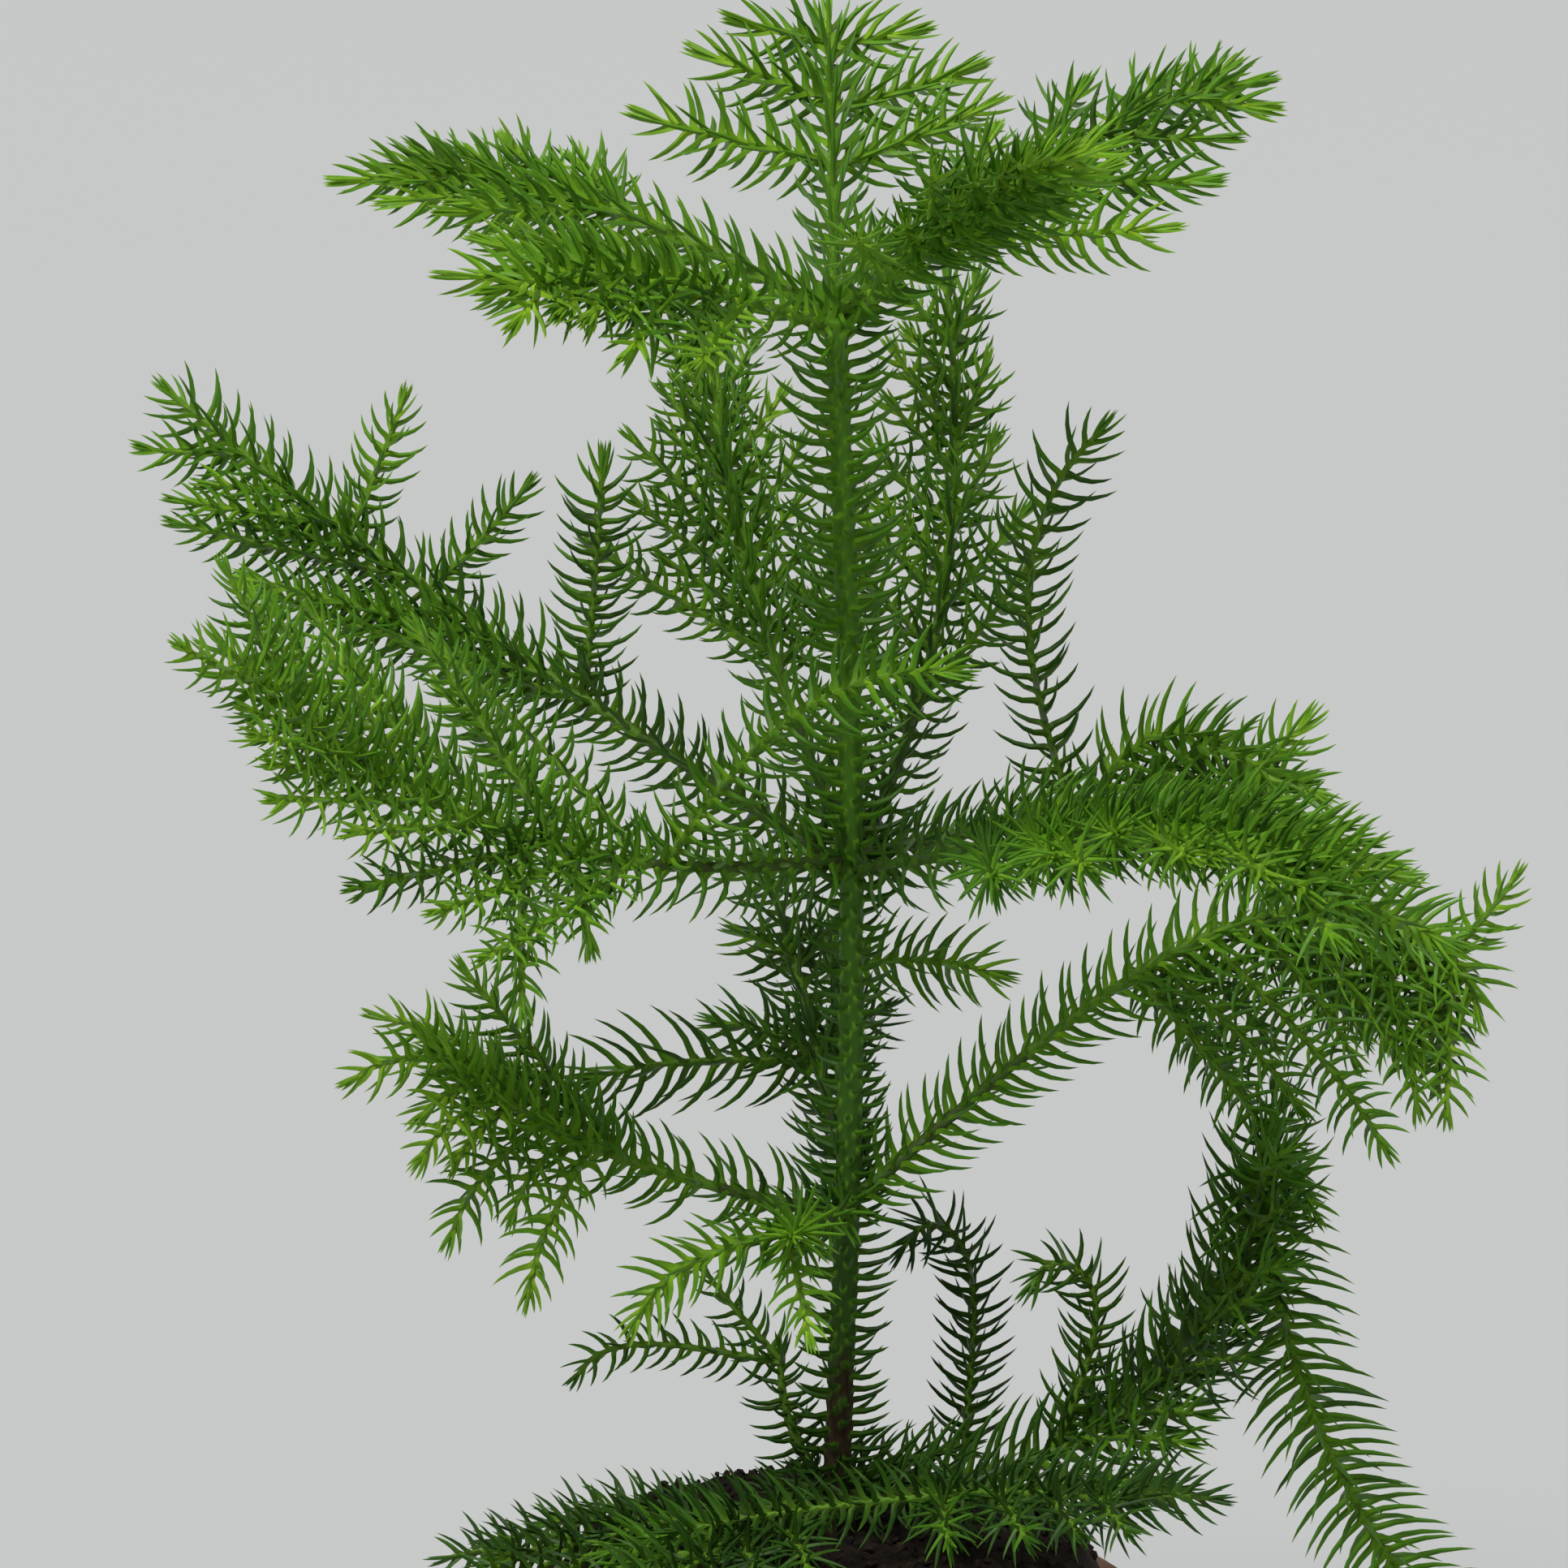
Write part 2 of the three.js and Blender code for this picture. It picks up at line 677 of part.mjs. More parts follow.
// As much of a path as stays clear of everything that other nodes hold.
function clearPart(node, path, radius) {
  const points = [path[0]];
  const ownNode = (other) => other.node === node;
  for (let i = 1; i < path.length; i += 1) {
    if (!isClear(path[i - 1], path[i], radius, ownNode)) break;
    points.push(path[i]);
  }
  return points;
}

function claimPath(node, path, radius, limbName = node) {
  for (let i = 1; i < path.length; i += 1) claim(node, path[i - 1], path[i], radius, limbName);
}

// A stem or twig with its rings of six needles, as one closed shape with its foot sunk in its stem.
function sprayGeometry(node, { path, radius, limbName }, needle) {
  const shell = new Shell();
  const length = pathLength(path);
  const count = Math.max(1, Math.round(length / spray.pitch));
  const pitch = length / count;
  const ringAt = (distance, turn) => {
    const t = Math.min(1, distance / length);
    const { point, along } = pathAt(path, t);
    return shell.ring(point, along, radius * THREE.MathUtils.lerp(1, limb.tipShare, t), turn, 3);
  };
  let turn = 0;
  let last = ringAt(0, turn);
  shell.cap(last, false);
  for (let i = 0; i < count; i += 1) {
    const distance = (i + spray.place) * pitch;
    const t = distance / length;
    const { point, along } = pathAt(path, t);
    const lean = THREE.MathUtils.lerp(spray.lean, spray.leanAtTip, t * t);
    const size = needle * THREE.MathUtils.lerp(1, spray.shortTip, t * t);
    const tipFor = (triangle) => {
      const root = shell.middle(triangle);
      const out = root.clone().sub(point);
      out.addScaledVector(along, -out.dot(along)).normalize();
      return clearTip(node, limbName, root, out, along, size, lean);
    };
    const low = ringAt(distance - spray.ring / 2, turn + spray.twist);
    const high = ringAt(distance + spray.ring / 2, turn + spray.twist + 60);
    shell.band(last, low);
    shell.band(low, high, tipFor);
    last = high;
    turn += spray.twist + 60;
  }
  const { along } = pathAt(path, 1);
  shell.cone(last, path[path.length - 1].clone().addScaledVector(along, needle * spray.budShare));
  return shell.geometry();
}

// Stem and twigs of one frond, fused.
function frondGeometry({ node, limbs, needle }) {
  const solids = limbs.map((part) => solidOf(sprayGeometry(node, part, needle)));
  return geometryOf(largestBody(solids.reduce((sum, solid) => sum.add(solid))));
}

// Assembly

const plant = new THREE.Group();

function addPiece(name, geometry, material) {
  const mesh = new THREE.Mesh(geometry, material);
  mesh.name = name;
  plant.add(mesh);
}

addPiece('pot', potGeometry(), materials.clay);
addPiece('soil', soilGeometry(), materials.peat);
addPiece('trunk', trunkGeometry(), materials.bark);

// Stems first, so that a twig gives way to a stem, and a needle to any limb.
const fronds = [];
let seed = firstSeed;
for (const whorl of whorls) {
  Object.keys(whorl.boughs).forEach((name, index) => {
    seed += seedStep;
    const growth = growthOf(whorl, name, seed);
    const start = trunkPoint(whorl.height + (index % 2) * limb.stagger - growth.drop);
    const { stem, twigs } = frondPaths(growth, start);
    const node = `${whorl.name}_${name}_frond`;
    let from = startClearOfTrunk(stem, growth.length, limb.boughRadius);
    if (whorl.hasBoughs) {
      const boughNode = `${whorl.name}_${name}_bough`;
      const end = growth.first - limb.boughStop;
      const path = pathPart(stem, from, end, limb.boughSteps);
      claimPath(boughNode, path, limb.boughRadius);
      addPiece(boughNode, boughGeometry(path), materials.bark);
      from = end + (clearance * 1.3) / growth.length;
    }
    const path = pathPart(stem, from, 1, limb.stemSteps);
    claimPath(node, path, limb.stemRadius, 'stem');
    const stemLimb = { path, radius: limb.stemRadius, limbName: 'stem' };
    fronds.push({ node, whorl, needle: growth.needle, limbs: [stemLimb], twigs });
  });
}

for (const frond of fronds) {
  frond.twigs.forEach((twig, i) => {
    const path = clearPart(frond.node, twig, limb.twigRadius);
    if (pathLength(path) < limb.shortest) return;
    const limbName = `twig ${i}`;
    claimPath(frond.node, path, limb.twigRadius, limbName);
    frond.limbs.push({ path, radius: limb.twigRadius, limbName });
  });
}

const sleeves = whorls.slice(0, -1).map((whorl, i) => sleeveSpan(
  `trunk_needles_${whorls[i + 1].name}`,
  whorls[i + 1].height + limb.stagger + sleeve.whorlGap,
  whorl.height - sleeve.whorlGap,
  sleeve.needles[i],
));
for (const part of sleeves) addPiece(part.name, sleeveGeometry(part), materials.needles);

for (const frond of fronds) {
  const material = frond.whorl.hasBoughs ? materials.needles : materials.youngNeedles;
  addPiece(frond.node, frondGeometry(frond), material);
}

export default plant;
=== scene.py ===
import math

import bmesh
import bpy
import numpy as np
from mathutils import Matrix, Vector, noise


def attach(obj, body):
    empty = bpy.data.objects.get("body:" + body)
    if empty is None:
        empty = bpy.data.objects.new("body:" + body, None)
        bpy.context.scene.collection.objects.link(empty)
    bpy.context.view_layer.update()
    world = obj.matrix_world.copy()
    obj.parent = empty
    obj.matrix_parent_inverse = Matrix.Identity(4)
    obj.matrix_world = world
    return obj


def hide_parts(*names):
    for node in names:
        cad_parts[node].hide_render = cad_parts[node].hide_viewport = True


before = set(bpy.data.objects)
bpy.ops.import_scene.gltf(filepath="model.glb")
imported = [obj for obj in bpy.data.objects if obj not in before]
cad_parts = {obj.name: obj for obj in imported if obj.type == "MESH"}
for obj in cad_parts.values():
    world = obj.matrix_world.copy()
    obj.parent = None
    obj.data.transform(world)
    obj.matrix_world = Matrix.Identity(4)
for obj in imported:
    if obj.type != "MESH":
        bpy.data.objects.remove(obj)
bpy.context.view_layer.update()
bpy.ops.object.select_all(action="DESELECT")
mm = 0.001  # sizes below are in mm, meshes in metres
body = "root"
print("frame loaded:", len(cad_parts), "nodes")


# Camera, at the height and distance that the picture was taken from

view = {
    "target": (-8, 0, 221),
    "distance": 1200,
    "lookDown": 12,  # degrees
    "pixelsPerMm": 7.9,  # at the trunk
    "picture": 1932,  # pixels across
    "sensor": 36,
    "clipEnd": 100,  # metres
}


def addCamera():
    tilt = math.radians(view["lookDown"])
    back = Vector((0, -math.cos(tilt), math.sin(tilt)))
    place = (Vector(view["target"]) + back * view["distance"]) * mm
    turn = (-back).to_track_quat("-Z", "Y").to_euler()
    bpy.ops.object.camera_add(location=place, rotation=turn)
    camera = bpy.context.object
    camera.data.sensor_width = view["sensor"]
    camera.data.lens = view["sensor"] * view["distance"] * view["pixelsPerMm"] / view["picture"]
    camera.data.clip_end = view["clipEnd"]
    bpy.context.scene.camera = camera


addCamera()
print("camera placed")


# Finishes. A grain is given by its features per metre, detail, roughness and stretch, as far as they
# aren't the usual ones.

class Wire:  # a value socket that plain expressions work on
    def __init__(self, finish, socket):
        self.finish = finish
        self.socket = socket

    def math(self, operation, first, second):
        node = self.finish.node("ShaderNodeMath", {"operation": operation}, {0: first, 1: second})
        return Wire(self.finish, node.outputs[0])

    def __add__(self, other):
        return self.math("ADD", self, other)

    def __sub__(self, other):
        return self.math("SUBTRACT", self, other)

    def __rsub__(self, other):
        return self.math("SUBTRACT", other, self)

    def __mul__(self, other):
        return self.math("MULTIPLY", self, other)

    __radd__ = __add__
    __rmul__ = __mul__


class Finish:  # one material and its nodes
    def __init__(self, name, **constants):
        self.material = bpy.data.materials.new(name)
        self.material.use_nodes = True
        self.tree = self.material.node_tree
        self.tree.nodes.clear()
        self.shader = self.node("ShaderNodeBsdfPrincipled", {}, constants)
        self.node("ShaderNodeOutputMaterial", {}, {"Surface": self.shader.outputs[0]})
        self.place = self.node("ShaderNodeTexCoord").outputs["Object"]

    def node(self, kind, settings=None, inputs=None):
        made = self.tree.nodes.new(kind)
        for name, value in (settings or {}).items():
            if name == "stops":
                self.setStops(made.color_ramp, value)
            else:
                setattr(made, name, value)
        for name, value in (inputs or {}).items():
            self.feed(made.inputs[name], value)
        return made

    def feed(self, socket, value):
        source = value.socket if isinstance(value, Wire) else value
        if isinstance(source, bpy.types.NodeSocket):
            self.tree.links.new(source, socket)
        elif socket.type == "RGBA":
            socket.default_value = (*source, 1)
        else:
            socket.default_value = source

    def setStops(self, ramp, stops):
        while len(ramp.elements) < len(stops):
            ramp.elements.new(1)
        for element, (place, tone) in zip(ramp.elements, stops):
            element.position = place
            element.color = (tone, tone, tone, 1)

    def set(self, **links):
        for name, value in links.items():
            self.feed(self.shader.inputs[name.replace("_", " ")], value)

    def grain(self, scale, detail=3, rough=0.55, stretch=None):  # noise from 0 to 1
        place = self.place
        if stretch:
            place = self.node("ShaderNodeMapping", {}, {"Vector": place, "Scale": stretch}).outputs[0]
        inputs = {"Vector": place, "Scale": scale, "Detail": detail, "Roughness": rough}
        return Wire(self, self.node("ShaderNodeTexNoise", {}, inputs).outputs["Fac"])

    def ramp(self, wire, *stops):
        return Wire(self, self.node("ShaderNodeValToRGB", {"stops": stops}, {"Fac": wire}).outputs[0])

    def mix(self, share, first, second):
        settings = {"data_type": "RGBA"}
        node = self.node("ShaderNodeMix", settings, {"Factor": share, 6: first, 7: second})
        return node.outputs[2]

    def height(self):
        return Wire(self, self.node("ShaderNodeSeparateXYZ", {}, {0: self.place}).outputs["Z"])

    def mark(self, name):  # a value that is stored with the mesh
        return Wire(self, self.node("ShaderNodeAttribute", {"attribute_name": name}).outputs["Fac"])

    def alongNeedle(self):  # 0 at a needle's foot, 1 at its tip
        place = self.node("ShaderNodeTexCoord").outputs["UV"]
        return Wire(self, self.node("ShaderNodeSeparateXYZ", {}, {0: place}).outputs["X"])

    def bump(self, wire, depth):
        inputs = {"Height": wire, "Distance": depth}
        self.set(Normal=self.node("ShaderNodeBump", {}, inputs).outputs[0])


needleTints = {  # plain colours, dealt out by spray
    # the first tint is the darkest green: painted shade, on the lowest whorl and on back fronds, for the
    # shade of the boughs above
    "dusk": {"tone": (0.025, 0.078, 0.01), "slot": "needles"},
    "deep": {"tone": (0.038, 0.115, 0.01), "slot": "needles"},
    "leaf": {"tone": (0.068, 0.2, 0.011), "slot": "needles"},
    "fresh": {"tone": (0.115, 0.295, 0.015), "slot": "young_needles"},
    "bud": {"tone": (0.185, 0.4, 0.022), "slot": "young_needles"},
    "dry": {"tone": (0.05, 0.034, 0.017), "slot": "needles"},
}

needleLook = {
    "patches": (90, 2),
    "shade": 0.8,  # of the tint, in the dark patches and in the light ones
    "light": 1.16,
    "pale": ((1.9, 1.5, 1.2), (0.02, 0.02, 0)),  # times the tint at its ends, and added to it
    "paleEnds": ((0, 0.9), (0.2, 0.3), (0.5, 0), (0.85, 0.1), (1, 0.7)),  # places along it, how pale
    "gloss": (700, 2),
    "relief": (2600, 2),
    "depth": 0.00006,  # metres
}


def needleFinish(name):
    look = needleLook
    tone = np.array(needleTints[name]["tone"])
    finish = Finish("needles_" + name, IOR=1.42)
    patches = finish.ramp(finish.grain(*look["patches"]), (0.35, 0), (0.65, 1))
    middle = finish.mix(patches, tone * look["shade"], tone * look["light"])
    ends = finish.ramp(finish.alongNeedle(), *look["paleEnds"])
    times, plus = look["pale"]
    finish.set(Base_Color=finish.mix(ends, middle, tone * times + plus))
    finish.set(Roughness=0.36 + 0.16 * finish.grain(*look["gloss"]), Specular_IOR_Level=0.24)
    finish.bump(finish.grain(*look["relief"]), look["depth"])
    return finish.material


shootTones = {
    "young": {"green": (0.13, 0.28, 0.018), "brown": (0.09, 0.2, 0.016)},
    "old": {"green": (0.055, 0.14, 0.011), "brown": (0.05, 0.062, 0.016)},
}

shootLook = {"patches": (240, 4), "gloss": (900, 2), "relief": (1500, 3), "depth": 0.00015}


def shootFinish(name):
    look = {**shootLook, **shootTones[name]}
    finish = Finish("shoot_" + name, IOR=1.42)
    patches = finish.ramp(finish.grain(*look["patches"]), (0.42, 0), (0.68, 1))
    finish.set(Base_Color=finish.mix(patches, look["green"], look["brown"]))
    finish.set(Roughness=0.42 + 0.25 * finish.grain(*look["gloss"]), Specular_IOR_Level=0.35)
    finish.bump(finish.grain(*look["relief"]), look["depth"])
    return finish.material


barkLook = {
    "green": (0.034, 0.095, 0.008),
    "fresh": (0.075, 0.2, 0.012),  # towards the top
    "pale": (0.15, 0.34, 0.02),  # on the feet of the needles
    "lowPale": (0.09, 0.22, 0.016),  # the same on the old wood
    "brown": (0.045, 0.026, 0.014),
    "grey": (0.1, 0.07, 0.045),
    "brownBelow": 0.108,  # metres
    "greenAbove": 0.146,
    "freshAbove": 0.25,
    "mottle": (420, 4, 0.6, (1, 1, 0.45)),
    "fissures": (900, 5, 0.65, (1, 1, 0.3)),
    "depth": 0.0004,
}


def barkFinish():
    look = barkLook
    finish = Finish("bark", IOR=1.42)

    def climb(low, high):  # 0 at the one height and 1 at the other
        return (finish.height() - look[low]) * (1 / (look[high] - look[low]))

    mottle = finish.grain(*look["mottle"])
    brown = finish.mix(finish.ramp(mottle, (0.4, 0), (0.72, 1)), look["brown"], look["grey"])
    greenness = climb("brownBelow", "greenAbove") + (mottle - 0.5) * 1.3
    youth = finish.ramp(greenness, (0.3, 0), (0.7, 1))
    freshness = finish.ramp(climb("greenAbove", "freshAbove"), (0, 0), (1, 1))
    bark = finish.mix(youth, brown, finish.mix(freshness, look["green"], look["fresh"]))
    feet = finish.ramp(finish.mark("swell") + (mottle - 0.5) * 0.3, (0.2, 0), (0.75, 1))
    pale = finish.mix(youth, look["lowPale"], look["pale"])
    finish.set(Base_Color=finish.mix(feet, bark, pale))
    finish.set(Roughness=0.82 - 0.3 * youth, Specular_IOR_Level=0.22)
    finish.bump(finish.grain(*look["fissures"]) * (1.25 - youth), look["depth"])
    return finish.material


clayLook = {
    "warm": (0.47, 0.19, 0.09),
    "dull": (0.36, 0.145, 0.075),
    "bloom": (0.62, 0.47, 0.38),
    "damp": (0.2, 0.075, 0.042),
    "perMetre": 11.36,  # heights as a share of the pot's
    "dampBelow": 0.34,
    "crustAbove": 0.62,
    "clouds": (34, 5, 0.6),
    "dampEdge": (46, 5),
    "crust": (60, 7, 0.68),
    "specks": (1400, 2),
    "rings": (30, 3, 0.5, (1, 1, 60)),
    "pits": (1100, 4, 0.7),
    "depth": 0.0005,
}


def clayFinish():
    look = clayLook
    finish = Finish("fired_clay", IOR=1.45)
    clouds = finish.ramp(finish.grain(*look["clouds"]), (0.32, 0), (0.68, 1))
    clay = finish.mix(clouds, look["warm"], look["dull"])
    up = finish.height() * look["perMetre"]
    dampness = (look["dampBelow"] - up) * 2.4 + (finish.grain(*look["dampEdge"]) - 0.5) * 1.5
    damp = finish.ramp(dampness, (0.3, 0), (0.85, 0.75))
    wet = finish.mix(damp, clay, look["damp"])
    salt = finish.grain(*look["crust"]) + (up - look["crustAbove"]) * 0.35
    crust = finish.ramp(salt, (0.56, 0), (0.72, 0.8))
    specks = finish.ramp(finish.grain(*look["specks"]), (0.66, 0), (0.74, 0.5))
    dusty = finish.mix(crust, wet, look["bloom"])
    finish.set(Base_Color=finish.mix(specks, dusty, look["damp"]))
    finish.set(Roughness=0.78 + 0.16 * crust - 0.12 * damp)
    rings = finish.grain(*look["rings"])
    finish.bump(rings * 0.55 + finish.grain(*look["pits"]) * 0.6 + crust * 0.4, look["depth"])
    return finish.material


peatLook = {
    "dark": (0.012, 0.009, 0.007),
    "brown": (0.052, 0.033, 0.02),
    "fibre": (0.12, 0.075, 0.04),
    "lumps": (420, 5, 0.65),
    "threads": (1500, 3, 0.6, (1, 0.3, 1)),
    "relief": (2600, 3),
    "depth": 0.0007,
    "crumbLightness": 1.5,
}


def peatFinish(name, lightness):
    look = peatLook
    finish = Finish(name, IOR=1.4)
    lumps = finish.ramp(finish.grain(*look["lumps"]), (0.35, 0), (0.7, 1))
    threads = finish.ramp(finish.grain(*look["threads"]), (0.62, 0), (0.76, 0.7))
    dark, brown = np.array([look["dark"], look["brown"]]) * lightness
    finish.set(Base_Color=finish.mix(threads, finish.mix(lumps, dark, brown), look["fibre"]))
    finish.set(Roughness=0.8 + 0.18 * lumps)
    finish.bump(lumps * 0.7 + finish.grain(*look["relief"]), look["depth"])
    return finish.material


finishes = {name: needleFinish(name) for name in needleTints}
finishes.update({"shoot_" + name: shootFinish(name) for name in shootTones})
finishes["bark"] = barkFinish()
finishes["clay"] = clayFinish()
finishes["peat"] = peatFinish("peat", 1)
finishes["crumbs"] = peatFinish("peat_crumbs", peatLook["crumbLightness"])
print("finishes made:", len(finishes))


# Editing helpers

def openMesh():  # into edit mode, with every face of the new primitive picked
    piece = bpy.context.object
    bpy.ops.object.transform_apply(location=True)
    bpy.ops.object.mode_set(mode="EDIT")
    bpy.ops.mesh.select_mode(type="FACE")
    bpy.ops.mesh.select_all(action="SELECT")
    return piece


def closeMesh():  # out of edit mode, with the faces pointing out
    bpy.ops.mesh.select_all(action="SELECT")
    bpy.ops.mesh.normals_make_consistent(inside=False)
    bpy.ops.object.mode_set(mode="OBJECT")


def pick(kind, test):  # picks the edges or faces that pass a test
    bpy.ops.mesh.select_mode(type=kind)
    bpy.ops.mesh.select_all(action="DESELECT")
    cage = bmesh.from_edit_mesh(bpy.context.object.data)
    for part in cage.edges if kind == "EDGE" else cage.faces:
        part.select = test(part)
    cage.select_flush_mode()
    bmesh.update_edit_mesh(bpy.context.object.data)


def cutUprights(height, cuts):  # adds rings on the edges that climb by more than a height
    def isLong(edge):
        low, high = edge.verts
        return abs(low.co.z - high.co.z) > height * mm

    pick("EDGE", isLong)
    bpy.ops.mesh.subdivide(number_cuts=cuts)


def extrudeRing(shift, swell, centre):  # lifts what is picked and widens it about a centre
    bpy.ops.mesh.extrude_region_move(TRANSFORM_OT_translate={"value": shift})
    bpy.ops.transform.resize(value=(swell, swell, 1), center_override=centre)


def joinedPiece(name, points, quads, triangles):  # many small things as one mesh, points in mm
    mesh = bpy.data.meshes.new(name)
    corners = np.concatenate([quads.ravel(), triangles.ravel()]).astype(np.int32)
    quadStarts = np.arange(len(quads)) * 4
    triangleStarts = len(quads) * 4 + np.arange(len(triangles)) * 3
    starts = np.concatenate([quadStarts, triangleStarts]).astype(np.int32)
    mesh.vertices.add(len(points))
    mesh.vertices.foreach_set("co", (points * mm).astype(np.float32).ravel())
    mesh.loops.add(len(corners))
    mesh.loops.foreach_set("vertex_index", corners)
    mesh.polygons.add(len(starts))
    mesh.polygons.foreach_set("loop_start", starts)
    mesh.update(calc_edges=True)
    mesh.validate()
    piece = bpy.data.objects.new(name, mesh)
    bpy.context.scene.collection.objects.link(piece)
    return piece


def finishPiece(piece, name, finish, nodes, smoothAngle=60):
    piece.name = name
    piece.data.name = name
    bpy.ops.object.select_all(action="DESELECT")
    piece.select_set(True)
    bpy.context.view_layer.objects.active = piece
    bpy.ops.object.transform_apply(location=True, rotation=True, scale=True)
    bpy.ops.object.shade_smooth_by_angle(angle=math.radians(smoothAngle))
    bpy.ops.object.select_all(action="DESELECT")
    piece.data.materials.clear()
    piece.data.materials.append(finish)
    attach(piece, body)
    if nodes:
        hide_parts(*nodes)
    print("made", name, len(piece.data.polygons), "faces")


def pointsOf(mesh):
    flat = np.empty(len(mesh.vertices) * 3)
    mesh.vertices.foreach_get("co", flat)
    return flat.reshape(-1, 3)


def setPoints(mesh, points):
    mesh.vertices.foreach_set("co", points.ravel())
    mesh.update()


def lerp(first, second, share):
    return first + (second - first) * share


# Pot

pot = {
    "height": 88,
    "rimRadius": 50,
    "rimBand": 19,  # height of the thickened band
    "bandStep": 3,
    "bandTaper": 0.7,
    "baseRadius": 36,
    "wall": 5,
    "rimWall": 5.5,
    "floor": 7,
    "sides": 96,
    "rimRound": 1.9,
    "footRound": 1.6,
    "bandRound": 0.8,
    "roundSteps": 4,
    "groove": ((5.5, 0.4), (6.4, 1.1), (7.3, 0.3)),  # scored line: heights on the band, and insets
    "longEdge": 20,  # edges that climb further get more rings
    "cuts": 6,
    "wobble": 0.25,  # how far the fired wall strays from round
    "wobbleScale": (24, 24, 40),
    "steadyFoot": 8,  # height over which that sets in
    "sameHeight": 0.01,
    "smoothAngle": 35,
}


def potInnerRadius(height):
    low = pot["baseRadius"] - pot["wall"]
    high = pot["rimRadius"] - pot["rimWall"]
    return lerp(low, high, (height - pot["floor"]) / (pot["height"] - pot["floor"]))


def potStep(height, radius, last):  # the next ring of the pot's wall, from the last one
    extrudeRing((0, 0, (height - last[0]) * mm), radius / last[1], (0, 0, height * mm))
    return height, radius


def roundEdges(height, radius):  # of the rings at a height, not of what joins them
    near = pot["sameHeight"] * mm

    def onRing(edge):
        first, second = (end.co for end in edge.verts)
        isAround = abs(first.xy.length - second.xy.length) < near
        return isAround and abs(first.z - height * mm) < near and abs(second.z - height * mm) < near

    pick("EDGE", onRing)
    bpy.ops.mesh.bevel(offset=radius * mm, segments=pot["roundSteps"], affect="EDGES")


def addPot():
    bandFoot = pot["height"] - pot["rimBand"]
    bodyTop = pot["rimRadius"] - pot["bandStep"]
    bpy.ops.mesh.primitive_cylinder_add(
        vertices=pot["sides"], radius=pot["baseRadius"] * mm, depth=bandFoot * mm, end_fill_type="NGON",
        location=(0, 0, bandFoot / 2 * mm))
    piece = openMesh()
    pick("FACE", lambda face: face.normal.z > 0.9)
    swell = bodyTop / pot["baseRadius"]
    bpy.ops.transform.resize(value=(swell, swell, 1), center_override=(0, 0, bandFoot * mm))
    ring = potStep(bandFoot, pot["rimRadius"] - pot["bandTaper"], (bandFoot, bodyTop))
    for rise, inset in pot["groove"]:
        ring = potStep(bandFoot + rise, pot["rimRadius"] - inset, ring)
    ring = potStep(pot["height"], pot["rimRadius"], ring)
    for height in (pot["height"], pot["floor"]):
        ring = potStep(height, potInnerRadius(height), ring)
    roundEdges(pot["height"], pot["rimRound"])
    roundEdges(0, pot["footRound"])
    roundEdges(bandFoot, pot["bandRound"])
    cutUprights(pot["longEdge"], pot["cuts"])
    closeMesh()
    points = pointsOf(piece.data)
    for place in points:  # a fired wall is never quite round
        swirl = noise.noise(Vector(place * pot["wobbleScale"]))
        share = min(1, max(0, place[2] / (pot["steadyFoot"] * mm)))
        place[:2] *= 1 + pot["wobble"] / pot["rimRadius"] * swirl * share
    setPoints(piece.data, points)
    finishPiece(piece, "clay_pot", finishes["clay"], ["pot"], pot["smoothAngle"])


addPot()


# Peat heap and its crumbs

peat = {
    "top": 99.7,
    "flat": 12,  # radius of the level patch
    "shoulderRadius": 39,
    "shoulderDrop": 1.9,
    "edgeDrop": 12.5,
    "edgeCurve": 1.5,
    "gap": 0.5,  # to the pot's wall
    "skirt": 14,  # how far the heap is carried down inside the pot
    "sides": 120,
    "rings": 42,
    "lump": 1.1,  # height of its lumps
    "lumps": ((0.16, 3, 0.6), (0.55, 8, 0.5), (1.3, 1, 0.3)),  # noise: waves per mm, layer and share
    "calm": (3, 8, 0.15),  # round the trunk: radius, how far it fades out, and the lumps left there
}

crumbs = {
    "count": 1500,
    "size": (0.5, 2.1),
    "smallness": 2.6,  # the greater, the fewer are large
    "area": (0.006, 1),  # share of the heap's area, from the middle out
    "rimRoom": 2.2,
    "dents": (0.62, 1.2),
    "stretch": (0.7, 1.35),
    "proud": 0.22,  # of its size, above the heap
    "seed": 5,
    "smoothAngle": 40,
}


def peatHeight(radius):
    wallRadius = potInnerRadius(peat["top"] - peat["edgeDrop"])
    if radius > wallRadius:
        return peat["top"] - peat["edgeDrop"]
    if radius > peat["shoulderRadius"]:
        share = (radius - peat["shoulderRadius"]) / (wallRadius - peat["shoulderRadius"])
        return peat["top"] - lerp(peat["shoulderDrop"], peat["edgeDrop"], share ** peat["edgeCurve"])
    share = max(0, radius - peat["flat"]) / (peat["shoulderRadius"] - peat["flat"])
    return peat["top"] - peat["shoulderDrop"] * share * share


def peatRelief(x, y):  # lumps and hollows, in mm
    relief = 0
    for waves, layer, share in peat["lumps"]:
        relief += share * noise.noise(Vector((x * waves, y * waves, layer)))
    return peat["lump"] * relief


